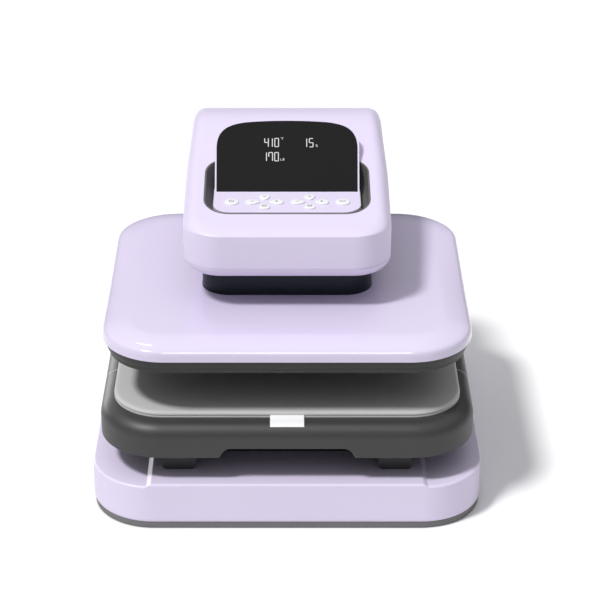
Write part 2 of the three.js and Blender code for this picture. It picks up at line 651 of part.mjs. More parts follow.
function addDrawer() {
  const group = addGroup();
  addPiece(group, 'drawer_tray', buildTray(), 'charcoal');
  const plateLevels = prism(padPlan, 0, LOWER_PLATEN_THICKNESS - SEAT_GAP);
  addPiece(group, 'lower_platen', plateLevels, 'aluminium', [0, 0, TRAY_TOP - LOWER_PLATEN_THICKNESS]);
  const pad = toSolid(loft(roundedLevels(padPlan, TRAY_TOP, PAD_TOP, 0, PAD_ROUND, PAD_ROUND)));
  addPiece(group, 'press_pad', pad, 'silicone');
  addPiece(group, 'pad_tag', buildTag(), 'white');
  for (const [side, sign] of [['left', -1], ['right', 1]]) {
    const x = sign * GLIDE_SPACING / 2;
    addPiece(group, `drawer_glide_${side}`, buildGlide(), 'charcoal',
      [x, TRAY_FRONT + GLIDE_SETBACK, DECK_TOP + SEAT_GAP]);
    addPiece(group, `drawer_rail_${side}`, buildRail(), 'steel', [x, RAIL_CENTER, DECK_TOP + SEAT_GAP]);
    addPiece(group, `drawer_slider_${side}`, buildSlider(), 'steel', [x, RAIL_CENTER, DECK_TOP + SEAT_GAP]);
  }
  addPiece(group, 'rail_tie', box(GLIDE_SPACING - RAIL_WIDTH - 2 * SEAT_GAP, RAIL_TIE_DEPTH, RAIL_HEIGHT, 0, 0, 0),
    'charcoal', [0, RAIL_CENTER - RAIL_LENGTH / 2 + RAIL_TIE_SETBACK + RAIL_TIE_DEPTH / 2, DECK_TOP + SEAT_GAP]);
}

const RAIL_CENTER = TRAY_FRONT + GLIDE_SETBACK + GLIDE_DEPTH + SEAT_GAP + RAIL_LENGTH / 2;

// Press head: cover, skirt, heated plate, element, insulation and steel plate, with the neck on top

const coverPlan = plan(COVER_WIDTH, COVER_DEPTH, COVER_CORNER, COVER_FRONT);
const neckPlan = plan(NECK_WIDTH, NECK_DEPTH, NECK_CORNER, BASE_FRONT + NECK_FRONT_SETBACK);
const NECK_CENTER = neckPlan.front + NECK_DEPTH / 2;
const PRESS_CENTER = COVER_FRONT + COVER_DEPTH / 2;

function buildCover() {
  const outer = toSolid(loft(roundedLevels(coverPlan, COVER_EDGE, COVER_TOP, 0, COVER_ROUND_IN, COVER_ROUND_UP)));
  const innerLevels = roundedLevels(shrink(coverPlan, COVER_WALL), COVER_EDGE - CUT_OVERRUN, COVER_TOP - COVER_WALL,
    0, COVER_ROUND_IN, COVER_ROUND_UP - COVER_WALL);
  const neckHole = toSolid(prism(shrink(neckPlan, -SEAT_GAP), COVER_EDGE, COVER_TOP + CUT_OVERRUN));
  return cut(outer, toSolid(loft(innerLevels)), neckHole);
}

const SKIRT_INSET = COVER_WALL + SEAT_GAP;

function buildSkirt() {
  const outline = shrink(coverPlan, SKIRT_INSET);
  const bottom = COVER_EDGE - SKIRT_HEIGHT;
  const outer = toSolid(loft([
    [shrink(outline, SKIRT_WALL / 2), bottom], [outline, bottom + SKIRT_WALL / 2], [outline, COVER_EDGE + SKIRT_LIP]]));
  const hole = toSolid(prism(shrink(outline, SKIRT_WALL), bottom - CUT_OVERRUN, COVER_EDGE + CUT_OVERRUN));
  return cut(outer, hole);
}

const ELEMENT_RUNS = 6;
const ELEMENT_REACH = 130;
const ELEMENT_PITCH = 48;
const ELEMENT_SIDES = 6;
const ELEMENT_STEPS = 54;

function buildElement() {
  const points = [];
  for (let run = 0; run < ELEMENT_RUNS; run += 1) {
    const y = (run - (ELEMENT_RUNS - 1) / 2) * ELEMENT_PITCH;
    const sign = run % 2 === 0 ? 1 : -1;
    points.push(new THREE.Vector3(-sign * ELEMENT_REACH, y, 0), new THREE.Vector3(0, y, 0));
    points.push(new THREE.Vector3(sign * ELEMENT_REACH, y, 0));
    if (run + 1 < ELEMENT_RUNS) {
      points.push(new THREE.Vector3(sign * (ELEMENT_REACH + ELEMENT_PITCH / 2), y + ELEMENT_PITCH / 2, 0));
    }
  }
  const path = new THREE.CatmullRomCurve3(points, false, 'centripetal');
  const section = new THREE.Shape();
  for (let i = 0; i < ELEMENT_SIDES; i += 1) {
    const angle = (i / ELEMENT_SIDES) * 2 * Math.PI;
    const point = [ELEMENT_RADIUS * Math.cos(angle), ELEMENT_RADIUS * Math.sin(angle)];
    if (i === 0) section.moveTo(...point);
    else section.lineTo(...point);
  }
  return new THREE.ExtrudeGeometry(section, { steps: ELEMENT_STEPS, extrudePath: path, bevelEnabled: false });
}

function addPressHead() {
  const group = addGroup();
  addPiece(group, 'press_cover', buildCover(), 'glossLilac');
  addPiece(group, 'heat_skirt', buildSkirt(), 'charcoal');
  const hotPlan = shrink(coverPlan, SKIRT_INSET + SKIRT_WALL + SEAT_GAP);
  addPiece(group, 'hot_plate', prism(hotPlan, 0, HOT_PLATE_THICKNESS), 'aluminium', [0, 0, HOT_PLATE_BOTTOM]);
  const elementZ = HOT_PLATE_BOTTOM + HOT_PLATE_THICKNESS + SEAT_GAP + ELEMENT_RADIUS;
  addPiece(group, 'heating_element', buildElement(), 'steel', [0, PRESS_CENTER, elementZ]);
  const insulationZ = elementZ + ELEMENT_RADIUS + SEAT_GAP;
  const insulationPlan = shrink(hotPlan, COVER_ROUND_IN);
  addPiece(group, 'insulation_board', prism(insulationPlan, 0, INSULATION_THICKNESS), 'insulation',
    [0, 0, insulationZ]);
  const plateZ = insulationZ + INSULATION_THICKNESS + SEAT_GAP;
  addPiece(group, 'press_plate', prism(shrink(neckPlan, -PRESS_PLATE_MARGIN), 0, PRESS_PLATE_THICKNESS), 'steel',
    [0, 0, plateZ]);
  const neckBottom = plateZ + PRESS_PLATE_THICKNESS + SEAT_GAP;
  const sleeve = toSolid(prism(neckPlan, neckBottom, NECK_TOP));
  const bore = toSolid(prism(shrink(neckPlan, NECK_WALL), neckBottom - CUT_OVERRUN, NECK_TOP + CUT_OVERRUN));
  addPiece(group, 'neck_sleeve', cut(sleeve, bore), 'navy');

  const rodTop = NECK_TOP - SEAT_GAP - WALL;
  addPiece(group, 'actuator_rod', post(ROD_RADIUS, rodTop - neckBottom, 0, 0, 0), 'steel',
    [0, PRESS_ROD_Y, neckBottom]);
  for (const [side, sign] of [['left', -1], ['right', 1]]) {
    addPiece(group, `guide_rod_${side}`, post(GUIDE_ROD_RADIUS, rodTop - neckBottom, 0, 0, 0), 'steel',
      [sign * GUIDE_SPACING / 2, PRESS_ROD_Y, neckBottom]);
  }
}

// Drive: the actuator and the guide bushes hang under the arm, and the motor stands behind them

const PRESS_ROD_Y = NECK_CENTER - ACTUATOR_RADIUS;
const DRIVE_BOTTOM = COVER_TOP + WALL;

function buildTubeUnderArm(outerRadius, rodRadius) {
  const height = ARM_BOTTOM - SEAT_GAP - DRIVE_BOTTOM;
  const body = toSolid(post(outerRadius, height, 0, 0, 0));
  const bore = toSolid(post(rodRadius + RUNNING_CLEARANCE, height - WALL + CUT_OVERRUN, 0, 0, -CUT_OVERRUN));
  return cut(body, bore);
}

function addDrive() {
  const group = addGroup();
  addPiece(group, 'actuator_body', buildTubeUnderArm(ACTUATOR_RADIUS, ROD_RADIUS), 'charcoal',
    [0, PRESS_ROD_Y, DRIVE_BOTTOM]);
  for (const [side, sign] of [['left', -1], ['right', 1]]) {
    addPiece(group, `guide_bush_${side}`, buildTubeUnderArm(GUIDE_BUSH_RADIUS, GUIDE_ROD_RADIUS), 'steel',
      [sign * GUIDE_SPACING / 2, PRESS_ROD_Y, DRIVE_BOTTOM]);
  }
  const gearboxFront = PRESS_ROD_Y + ACTUATOR_RADIUS + SEAT_GAP;
  const gearboxBottom = ARM_BOTTOM - SEAT_GAP - GEARBOX_HEIGHT;
  addPiece(group, 'gearbox', box(GEARBOX_WIDTH, GEARBOX_DEPTH, GEARBOX_HEIGHT, 0, 0, 0), 'aluminium',
    [0, gearboxFront + GEARBOX_DEPTH / 2, gearboxBottom]);
  addPiece(group, 'drive_motor', post(MOTOR_RADIUS, gearboxBottom - SEAT_GAP - DRIVE_BOTTOM, 0, 0, 0), 'steel',
    [0, gearboxFront + GEARBOX_DEPTH / 2, DRIVE_BOTTOM]);
  addPiece(group, 'power_board', box(POWER_BOARD_WIDTH, POWER_BOARD_DEPTH, POWER_BOARD_THICKNESS, 0, 0, 0), 'board',
    [0, COLUMN_CENTER - POST_SIZE / 2 - POWER_BOARD_DEPTH, ARM_TOP + SEAT_GAP]);
  const skirtPlan = shrink(neckPlan, NECK_WALL + RUNNING_CLEARANCE + SEAT_GAP);
  const skirt = cut(
    toSolid(prism(skirtPlan, DRIVE_BOTTOM, ARM_BOTTOM - SEAT_GAP)),
    toSolid(prism(shrink(skirtPlan, NECK_WALL), DRIVE_BOTTOM - CUT_OVERRUN, ARM_BOTTOM + CUT_OVERRUN)));
  addPiece(group, 'neck_liner', skirt, 'navy');
}

// Control head: a lower tray with a bevel, and a lilac shell whose top slopes to the front

const headPlan = plan(HEAD_WIDTH, HEAD_DEPTH, HEAD_CORNER, HEAD_FRONT);
const pocketPlan = plan(POCKET_WIDTH, POCKET_DEPTH, POCKET_CORNER, POCKET_FRONT);

// Height of the head's top above its front crease
function headRise(y) {
  const run = Math.max(y - HEAD_FRONT, 0);
  const bend = Math.max(run - HEAD_CREST_RUN, 0);
  return run * Math.tan(HEAD_SLOPE) - HEAD_CREST_BEND * bend * bend;
}

function headTop(y) {
  return HEAD_CREASE + headRise(y);
}

const SHELF_TOP = headTop(POCKET_FRONT) - POCKET_FLOOR_DROP;
const POCKET_FLOOR_TOP = SHELF_TOP - SHELF_THICKNESS;

function buildPocketHollow(grow, lift) {
  const steps = EDGE_STEPS + 1;
  const levels = [];
  for (let i = 0; i <= steps; i += 1) {
    const angle = (i / steps) * Math.PI / 2;
    const share = 1 - Math.cos(angle);
    const inset = (POCKET_CORNER / 2) * share + grow;
    const height = (y) => POCKET_FLOOR_TOP + lift + (headTop(y) - POCKET_FLOOR_TOP) * (1 - Math.sin(angle));
    levels.push([shrink(pocketPlan, inset), height]);
  }
  levels.unshift([shrink(pocketPlan, grow), (y) => headTop(y) + SCREEN_BODY]);
  return toSolid(loft(levels.reverse()));
}

// The shell's edge is only just rounded at the front crease, and broadly at the sides and the back
function headRound(y) {
  const share = Math.min(Math.max((y - HEAD_FRONT) / HEAD_ROUND_BLEND, 0), 1);
  return HEAD_FRONT_ROUND_UP + (HEAD_ROUND_UP - HEAD_FRONT_ROUND_UP) * share * share * (3 - 2 * share);
}

function headLevels(outline, bottom, drop) {
  const levels = [[outline, bottom]];
  for (let i = 0; i <= EDGE_STEPS; i += 1) {
    const angle = (i / EDGE_STEPS) * Math.PI / 2;
    levels.push([shrink(outline, HEAD_ROUND_IN * (1 - Math.cos(angle))),
      (y) => headTop(y) - drop - headRound(y) * (1 - Math.sin(angle))]);
  }
  return levels;
}

function buildHeadShell() {
  const outer = toSolid(loft(headLevels(headPlan, HEAD_SEAM + SEAT_GAP, 0)));
  const inner = toSolid(loft(headLevels(shrink(headPlan, WALL), HEAD_SEAM - CUT_OVERRUN, WALL)));
  const opening = toSolid(loft([
    [shrink(pocketPlan, -SEAT_GAP), HEAD_SEAM],
    [shrink(pocketPlan, -SEAT_GAP), (y) => headTop(y) + CUT_OVERRUN],
  ]));
  return cut(outer, inner, opening);
}

function buildHeadTray() {
  const outer = toSolid(loft([
    [shrink(headPlan, HEAD_TRAY_BEVEL), HEAD_BOTTOM],
    [shrink(headPlan, HEAD_TRAY_BEVEL / 4), HEAD_BOTTOM + HEAD_TRAY_HEIGHT / 2],
    [shrink(headPlan, SEAT_GAP), HEAD_SEAM - HEAD_TRAY_HEIGHT / 5],
    [headPlan, HEAD_SEAM],
  ]));
  const inner = toSolid(prism(shrink(headPlan, HEAD_TRAY_BEVEL + WALL), HEAD_BOTTOM + WALL, HEAD_SEAM + CUT_OVERRUN));
  const neckHole = toSolid(prism(shrink(neckPlan, -2 * SEAT_GAP), HEAD_BOTTOM - CUT_OVERRUN, HEAD_SEAM));
  const postSlots = [-1, 1].map((sign) => toSolid(box(
    POST_SIZE + 2 * SEAT_GAP, POST_SIZE + 2 * SEAT_GAP, HEAD_TRAY_HEIGHT + 2 * CUT_OVERRUN,
    sign * POST_SPACING / 2, COLUMN_CENTER, HEAD_BOTTOM - CUT_OVERRUN)));
  return cut(outer, inner, neckHole, ...postSlots);
}

function buildPocket() {
  const body = toSolid(loft([[pocketPlan, POCKET_FLOOR_TOP - POCKET_FLOOR], [pocketPlan, headTop]]));
  return cut(body, buildPocketHollow(WALL / 2, 0));
}

// Display: a shelf for the buttons and a tilted screen behind it

function screenShape(halfWidth, bottom, top, shoulder, crown) {
  const shape = new THREE.Shape();
  const crownHalf = SCREEN_CROWN_WIDTH / 2;
  shape.moveTo(-halfWidth + SCREEN_TAPER, bottom);
  shape.lineTo(halfWidth - SCREEN_TAPER, bottom);
  shape.lineTo(halfWidth, top - shoulder);
  shape.bezierCurveTo(halfWidth + crown / 2, top - shoulder / 3, halfWidth - shoulder / 4, top - 2.6 * crown,
    crownHalf, top - crown);
  shape.quadraticCurveTo(0, top + crown, -crownHalf, top - crown);
  shape.bezierCurveTo(-halfWidth + shoulder / 4, top - 2.6 * crown, -halfWidth - crown / 2, top - shoulder / 3,
    -halfWidth, top - shoulder);
  return shape;
}

function screenSlab(margin, bottom, thickness) {
  const shape = screenShape(SCREEN_WIDTH / 2 - margin, bottom, SCREEN_LENGTH - margin, SCREEN_SHOULDER, SCREEN_CROWN);
  return new THREE.ExtrudeGeometry(shape, { depth: thickness, bevelEnabled: false, curveSegments: 6 });
}

const SHELF_FRONT = POCKET_FRONT + SHELF_SETBACK;
const SCREEN_FOOT_Y = SHELF_FRONT + SHELF_DEPTH * Math.cos(SHELF_TILT);
const SCREEN_FOOT_Z = SHELF_TOP + SHELF_DEPTH * Math.sin(SHELF_TILT);

const BUTTONS = [
  ['power_button', -ROUND_BUTTON_OFFSET, 0, ROUND_BUTTON, ROUND_BUTTON],
  ['start_button', ROUND_BUTTON_OFFSET, 0, ROUND_BUTTON, ROUND_BUTTON],
];
for (const [side, sign] of [['left', -1], ['right', 1]]) {
  const x = sign * CLUSTER_OFFSET;
  BUTTONS.push([`${side}_pad_up`, x, PETAL_ROW_OFFSET, END_PETAL_WIDTH, END_PETAL_DEPTH]);
  BUTTONS.push([`${side}_pad_down`, x, -PETAL_ROW_OFFSET, END_PETAL_WIDTH, END_PETAL_DEPTH]);
  BUTTONS.push([`${side}_pad_left`, x - PETAL_OFFSET, 0, SIDE_PETAL_WIDTH, SIDE_PETAL_DEPTH]);
  BUTTONS.push([`${side}_pad_right`, x + PETAL_OFFSET, 0, SIDE_PETAL_WIDTH, SIDE_PETAL_DEPTH]);
}
const BUTTON_STEPS = 16;

function buildButton(width, depth) {
  const radius = width / 2;
  const body = new THREE.LatheGeometry([
    new THREE.Vector2(0, -BUTTON_BODY + BUTTON_PROUD),
    new THREE.Vector2(radius, -BUTTON_BODY + BUTTON_PROUD),
    new THREE.Vector2(radius, BUTTON_PROUD / 2),
    new THREE.Vector2(radius - BUTTON_PROUD / 4, BUTTON_PROUD * 0.85),
    new THREE.Vector2(radius - BUTTON_PROUD, BUTTON_PROUD),
    new THREE.Vector2(0, BUTTON_PROUD),
  ], BUTTON_STEPS);
  return body.rotateX(Math.PI / 2).scale(1, depth / width, 1);
}

function shelfPlace(geometry) {
  return geometry.rotateX(SHELF_TILT).translate(0, SHELF_FRONT, SHELF_TOP);
}

function screenPlace(geometry) {
  return geometry.rotateX(SCREEN_TILT).translate(0, SCREEN_FOOT_Y, SCREEN_FOOT_Z);
}

const BUTTON_CAVITY_TOP = -(BUTTON_BODY - BUTTON_PROUD) - SEAT_GAP;
const BOARD_MARGIN = 8;
const SCREEN_CAVITY_DEPTH = 8;

function buildDisplayHousing() {
  const shelfPlan = plan(SHELF_WIDTH, SHELF_DEPTH + 2 * SHELF_CORNER, SHELF_CORNER, 0);
  const keepDepth = SHELF_DEPTH + SHELF_CORNER / 2;
  const keep = toSolid(shelfPlace(box(SHELF_WIDTH + CUT_OVERRUN, keepDepth, 4 * SHELF_THICKNESS,
    0, keepDepth / 2, -2 * SHELF_THICKNESS)));
  const shelf = toSolid(shelfPlace(loft(roundedLevels(shelfPlan, -2 * SHELF_THICKNESS, 0, 0, 1, 1)))).intersect(keep);
  const slab = toSolid(screenPlace(screenSlab(0, 0, SCREEN_BODY).translate(0, 0, -SCREEN_BODY)));
  const recess = toSolid(screenPlace(screenSlab(BEZEL - SEAT_GAP, BEZEL / 2 - SEAT_GAP, SCREEN_BODY)
    .translate(0, 0, -GLASS_THICKNESS - SEAT_GAP)));
  const boardHole = toSolid(screenPlace(box(SCREEN_WIDTH - 4 * BOARD_MARGIN, DISPLAY_BOARD_LENGTH + 2 * SEAT_GAP,
    SCREEN_CAVITY_DEPTH, 0, DISPLAY_BOARD_FOOT + DISPLAY_BOARD_LENGTH / 2, -GLASS_THICKNESS - SCREEN_CAVITY_DEPTH)));
  const buttonCavity = toSolid(shelfPlace(box(SHELF_WIDTH - 2 * BOARD_MARGIN, SHELF_DEPTH - 2 * BOARD_MARGIN,
    2 * SHELF_THICKNESS, 0, SHELF_DEPTH / 2, BUTTON_CAVITY_TOP - 2 * SHELF_THICKNESS)));
  const holes = BUTTONS.map(([, x, y, width, depth]) => {
    const grow = 2 * BUTTON_CLEARANCE;
    const hole = post((width + grow) / 2, 4 * BUTTON_BODY, 0, 0, -2 * BUTTON_BODY, BUTTON_STEPS);
    hole.scale(1, (depth + grow) / (width + grow), 1).translate(x, BUTTON_ROW + y, 0);
    return toSolid(shelfPlace(hole));
  });
  const belowHead = toSolid(loft([
    [shrink(headPlan, -CUT_OVERRUN), HEAD_SEAM], [shrink(headPlan, -CUT_OVERRUN), (y) => headTop(y) + SEAT_GAP]]));
  const cutter = cut(belowHead, buildPocketHollow(WALL / 2 + SEAT_GAP, SEAT_GAP));
  const body = cut(join(shelf, slab), recess, boardHole, buttonCavity, ...holes, cutter);
  return body.decompose().sort((a, b) => b.volume() - a.volume())[0];
}

function addControlHead() {
  const group = addGroup();
  addPiece(group, 'head_shell', buildHeadShell(), 'lilac');
  addPiece(group, 'head_tray', buildHeadTray(), 'lilac');
  addPiece(group, 'control_pocket', buildPocket(), 'charcoal');
  addPiece(group, 'display_housing', buildDisplayHousing(), 'lilac');

  const screen = addGroup([0, SCREEN_FOOT_Y, SCREEN_FOOT_Z], SCREEN_TILT);
  addPiece(screen, 'display_glass', screenSlab(BEZEL, BEZEL / 2, GLASS_THICKNESS), 'glass', [0, 0, -GLASS_THICKNESS]);
  addPiece(screen, 'display_board', box(SCREEN_WIDTH - 4 * BOARD_MARGIN - 2 * SEAT_GAP,
    DISPLAY_BOARD_LENGTH, BOARD_THICKNESS, 0, DISPLAY_BOARD_FOOT + DISPLAY_BOARD_LENGTH / 2, 0), 'board',
  [0, 0, -GLASS_THICKNESS - SCREEN_CAVITY_DEPTH + SEAT_GAP]);

  const shelf = addGroup([0, SHELF_FRONT, SHELF_TOP], SHELF_TILT);
  const boardTop = BUTTON_CAVITY_TOP - BUTTON_TRAVEL - SEAT_GAP;
  addPiece(shelf, 'button_board', box(SHELF_WIDTH - 2 * BOARD_MARGIN - 2 * SEAT_GAP,
    SHELF_DEPTH - 2 * BOARD_MARGIN - 2 * SEAT_GAP, BOARD_THICKNESS, 0, 0, 0), 'board',
  [0, SHELF_DEPTH / 2, boardTop - BOARD_THICKNESS]);
  for (const [name, x, y, width, depth] of BUTTONS) {
    addPiece(shelf, name, buildButton(width, depth), 'white', [x, BUTTON_ROW + y, 0]);
  }
}

addBase();
addFrame();
addColumn();
addDrawer();
addPressHead();
addDrive();
addControlHead();

export default press;
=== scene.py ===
# %% [markdown]
# # An automatic heat press for crafts, dressed in Blender
#
# The press is a flat heated plate that a motor lowers onto a soft pad. The pad lies on a drawer, and a
# sloped head above holds a screen and ten buttons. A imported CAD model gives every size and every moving
# body. This lesson loads that model, rebuilds the parts that are seen with finer curves, and gives each
# surface a finish of its own. Lengths are typed in millimetres and turned into metres when a mesh is made.

# %% Load the fixed frame
import math

import bpy
from mathutils import Matrix, Vector


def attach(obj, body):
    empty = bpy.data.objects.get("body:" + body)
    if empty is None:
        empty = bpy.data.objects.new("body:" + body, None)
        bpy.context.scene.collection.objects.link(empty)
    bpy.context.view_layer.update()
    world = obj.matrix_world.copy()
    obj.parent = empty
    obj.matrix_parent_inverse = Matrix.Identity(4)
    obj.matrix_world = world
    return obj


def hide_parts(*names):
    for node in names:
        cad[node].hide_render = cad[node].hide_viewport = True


MM = 0.001
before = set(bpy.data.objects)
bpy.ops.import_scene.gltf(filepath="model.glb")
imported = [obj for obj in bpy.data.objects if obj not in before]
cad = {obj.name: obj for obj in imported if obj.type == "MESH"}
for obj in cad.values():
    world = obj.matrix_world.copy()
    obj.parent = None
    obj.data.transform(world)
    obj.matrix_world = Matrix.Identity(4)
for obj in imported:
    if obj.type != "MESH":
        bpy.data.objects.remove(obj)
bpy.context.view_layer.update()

# %% [markdown]
# ## The camera
#
# The photograph looks down at the press at about 26 degrees with a long lens, so upright lines stay nearly
# upright. A wide lens close by would pinch the base. The press stands a little left of the picture's
# middle, and a small sideways lens shift does that without turning the camera.

# %% Camera at the photograph's place
LOOK_DOWN = 0.4540
PHOTO_WIDTH = 600
LEFT_OF_MIDDLE = 12.9

camera_data = bpy.data.cameras.new("photo_camera")
camera_data.sensor_width = 36
camera_data.lens = 119.24
camera_data.shift_x = LEFT_OF_MIDDLE / PHOTO_WIDTH
camera_data.clip_end = 60
camera = bpy.data.objects.new("photo_camera", camera_data)
bpy.context.scene.collection.objects.link(camera)
camera.location = (0, -2.0245, 1.1562)
camera.rotation_euler = (math.pi / 2 - LOOK_DOWN, 0, 0)
bpy.context.scene.camera = camera
bpy.context.scene.view_settings.view_transform = "Standard"
print("camera looks down", round(math.degrees(LOOK_DOWN), 1), "degrees")

# %% [markdown]
# ## Plans and lofts
#
# Nearly every moulded part of this press is a rounded rectangle that changes a little from level to level:
# it turns in at an edge, or its top slopes. So one helper draws the outline, and another one stacks
# outlines into a closed skin. A stack keeps the mesh in neat rings, which shade smoothly. A subdivided box
# would round its corners by eye, and it could not keep the sizes of the CAD part.


# %% Outline helpers
def plan(width, depth, corner, front):
    """A rounded rectangle, even about the middle line, whose front edge lies at front."""
    return {"half": width / 2, "depth": depth, "corner": corner, "front": front}


def inset(shape, amount):
    """The same outline, drawn in by amount on every side."""
    return {
        "half": shape["half"] - amount,
        "depth": shape["depth"] - 2 * amount,
        "corner": max(shape["corner"] - amount, 3),
        "front": shape["front"] + amount,
    }


def right_side(shape, corner_steps, side_steps):
    """Points of the outline's right half, from front to back."""
    half, corner, front, depth = (shape[key] for key in ("half", "corner", "front", "depth"))
    points = []

    def turn(centre_y, first):
        for step in range(corner_steps + 1):
            angle = first + step / corner_steps * math.pi / 2
            points.append((half - corner + corner * math.cos(angle), centre_y + corner * math.sin(angle)))

    turn(front + corner, -math.pi / 2)
    run = depth - 2 * corner
    for step in range(1, side_steps):
        points.append((half, front + corner + run * step / side_steps))
    turn(front + depth - corner, 0)
    return points


print("points in one half outline:", len(right_side(plan(200, 200, 30, -100), 16, 14)))


# %% New pieces from points
def new_piece(name, verts, faces):
    """A piece from points in millimetres."""
    mesh = bpy.data.meshes.new(name)
    mesh.from_pydata([(x * MM, y * MM, z * MM) for x, y, z in verts], [], faces)
    mesh.validate()
    piece = bpy.data.objects.new(name, mesh)
    bpy.context.scene.collection.objects.link(piece)
    return piece


def ring_faces(count, rings):
    """Quads between stacked rings of count points each."""
    return [(low + i, low + (i + 1) % count, low + count + (i + 1) % count, low + count + i)
            for low in range(0, (rings - 1) * count, count) for i in range(count)]


print("faces round a four-sided block:", ring_faces(4, 2))


# %% Lofts through outlines
def loft(name, levels, corner_steps=16, side_steps=14):
    """A closed skin through outlines. A level is (outline, height), and the height may change along Y."""
    verts = []
    for shape, height in levels:
        right = right_side(shape, corner_steps, side_steps)
        ring = right + [(-x, y) for x, y in reversed(right)]
        verts += [(x, y, height(y) if callable(height) else height) for x, y in ring]
    count = len(verts) // len(levels)
    faces = ring_faces(count, len(levels))
    last = (len(levels) - 1) * count
    for i in range(count // 2 - 1):
        mirror = count - 1 - i
        faces.append((i, mirror, mirror - 1, i + 1))
        faces.append((last + i, last + i + 1, last + mirror - 1, last + mirror))
    return new_piece(name, verts, faces)


print("loft helper ready")


# %% Rounded blocks
def rounded(shape, bottom, top, bottom_round, round_in, round_up, steps=9):
    """Levels of a block whose lower and upper edges are rounded."""
    levels = []
    if bottom_round:
        levels.append((inset(shape, bottom_round + 1.5), bottom))
        for step in range(steps + 1):
            angle = step / steps * math.pi / 2
            levels.append((inset(shape, bottom_round * (1 - math.sin(angle))),
                           bottom + bottom_round * (1 - math.cos(angle))))
    else:
        levels.append((shape, bottom))
    for step in range(steps + 1):
        angle = step / steps * math.pi / 2
        levels.append((inset(shape, round_in * (1 - math.cos(angle))),
                       top - round_up * (1 - math.sin(angle))))
    levels.append((inset(shape, round_in + 2), top))
    return levels


print("levels of a rounded block:", len(rounded(plan(200, 200, 30, -100), 0, 40, 5, 3, 3)))


# %% [markdown]
# ## Cutting and finishing
#
# Openings could be modelled face by face, but a rounded outline that meets a curved skin is hard to draw by
# hand. So they are cut with the Boolean modifier, which is applied at once and leaves one plain mesh. The
# moulded look comes from the last two steps: sharp edges are marked by their angle, and a narrow bevel gives
# each of them a thin line that catches light, as a real moulding does.


# %% Cutting
def carve(piece, cutter, operation="DIFFERENCE"):
    """Cuts with cutter, or keeps what both share, then removes the cutter."""
    change = piece.modifiers.new("carve", "BOOLEAN")
    change.operation = operation
    change.solver = "EXACT"
    change.object = cutter
    seen = piece.evaluated_get(bpy.context.evaluated_depsgraph_get())
    piece.data = bpy.data.meshes.new_from_object(seen)
    piece.modifiers.clear()
    bpy.data.objects.remove(cutter)
    return piece


print("cutting helper ready")


# %% Smooth faces and soft edges
def smooth(piece, crease=40):
    """Smooth shading that stays sharp at edges above the crease angle."""
    mesh = piece.data
    mesh.polygons.foreach_set("use_smooth", [True] * len(mesh.polygons))
    mesh.set_sharp_from_angle(angle=math.radians(crease))


def soften(piece, width, segments=2, angle=50):
    """A narrow bevel on every edge sharper than angle, with the normals of the larger faces."""
    bevel = piece.modifiers.new("edge_softening", "BEVEL")
    bevel.width = width * MM
    bevel.segments = segments
    bevel.limit_method = "ANGLE"
    bevel.angle_limit = math.radians(angle)
    bevel.use_clamp_overlap = True
    bevel.miter_outer = "MITER_ARC"
    weigh = piece.modifiers.new("even_shading", "WEIGHTED_NORMAL")
    weigh.keep_sharp = True


print("shading and edge helpers ready")


# %% Dressing a piece
def dress(piece, material, body, stands_for=()):
    """Gives a piece its finish and the body it rides on, and hides the CAD nodes it stands for."""
    piece.data.materials.clear()
    piece.data.materials.append(material)
    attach(piece, body)
    if stands_for:
        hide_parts(*stands_for)
    return piece


# %% [markdown]
# ## Shared surface effects
#
# Moulded plastic is never one flat colour. It has a fine spark-eroded grain, and its gloss changes slowly
# over a large face. Both effects are needed on many parts, so each is a node group with named sockets that
# is built once. Object coordinates drive them, because they stay fixed to the part when it moves.


# %% Colours
def srgb(red, green, blue):
    """A colour as a picture shows it, 0 to 255, turned into Blender's linear values."""
    def linear(value):
        value /= 255
        return value / 12.92 if value <= 0.04045 else ((value + 0.055) / 1.055) ** 2.4
    return (linear(red), linear(green), linear(blue), 1.0)


print("a pale lilac in linear values:", [round(value, 3) for value in srgb(213, 204, 227)])


# %% Opening a node group
def open_group(name, inputs, outputs):
    """A node group with named sockets, and its two end nodes."""
    group = bpy.data.node_groups.new(name, "ShaderNodeTree")
    for label, kind, default in inputs:
        socket = group.interface.new_socket(name=label, in_out="INPUT", socket_type=kind)
        socket.default_value = default
    for label, kind in outputs:
        group.interface.new_socket(name=label, in_out="OUTPUT", socket_type=kind)
    return group, group.nodes.new("NodeGroupInput"), group.nodes.new("NodeGroupOutput")


def blend_shades(group, given, share, out):
    """Blends the group's Color and Shade by share, and puts the blend out as its colour."""
    mix = group.nodes.new("ShaderNodeMix")
    mix.data_type = "RGBA"
    group.links.new(share, mix.inputs["Factor"])
    group.links.new(given.outputs["Color"], mix.inputs["A"])
    group.links.new(given.outputs["Shade"], mix.inputs["B"])
    group.links.new(mix.outputs["Result"], out.inputs["Color"])


print("group helpers ready")


# %% Maths and noise nodes
def math_node(group, operation, first, second):
    """A maths node whose inputs are plain numbers or other nodes' outputs."""
    node = group.nodes.new("ShaderNodeMath")
    node.operation = operation
    for socket, value in zip(node.inputs, (first, second)):
        if isinstance(value, (int, float)):
            socket.default_value = value
        else:
            group.links.new(value, socket)
    return node.outputs[0]


def noise(group, scale, detail, stretch=(1, 1, 1)):
    """Noise in the part's own space. stretch squeezes it into lines."""
    where = group.nodes.new("ShaderNodeTexCoord")
    squeeze = group.nodes.new("ShaderNodeMapping")
    squeeze.inputs["Scale"].default_value = stretch
    texture = group.nodes.new("ShaderNodeTexNoise")
    texture.inputs["Detail"].default_value = detail
    group.links.new(where.outputs["Object"], squeeze.inputs["Vector"])
    group.links.new(squeeze.outputs["Vector"], texture.inputs["Vector"])
    if isinstance(scale, (int, float)):
        texture.inputs["Scale"].default_value = scale
    else:
        group.links.new(scale, texture.inputs["Scale"])
    return texture.outputs["Fac"]


print("maths and noise helpers ready")


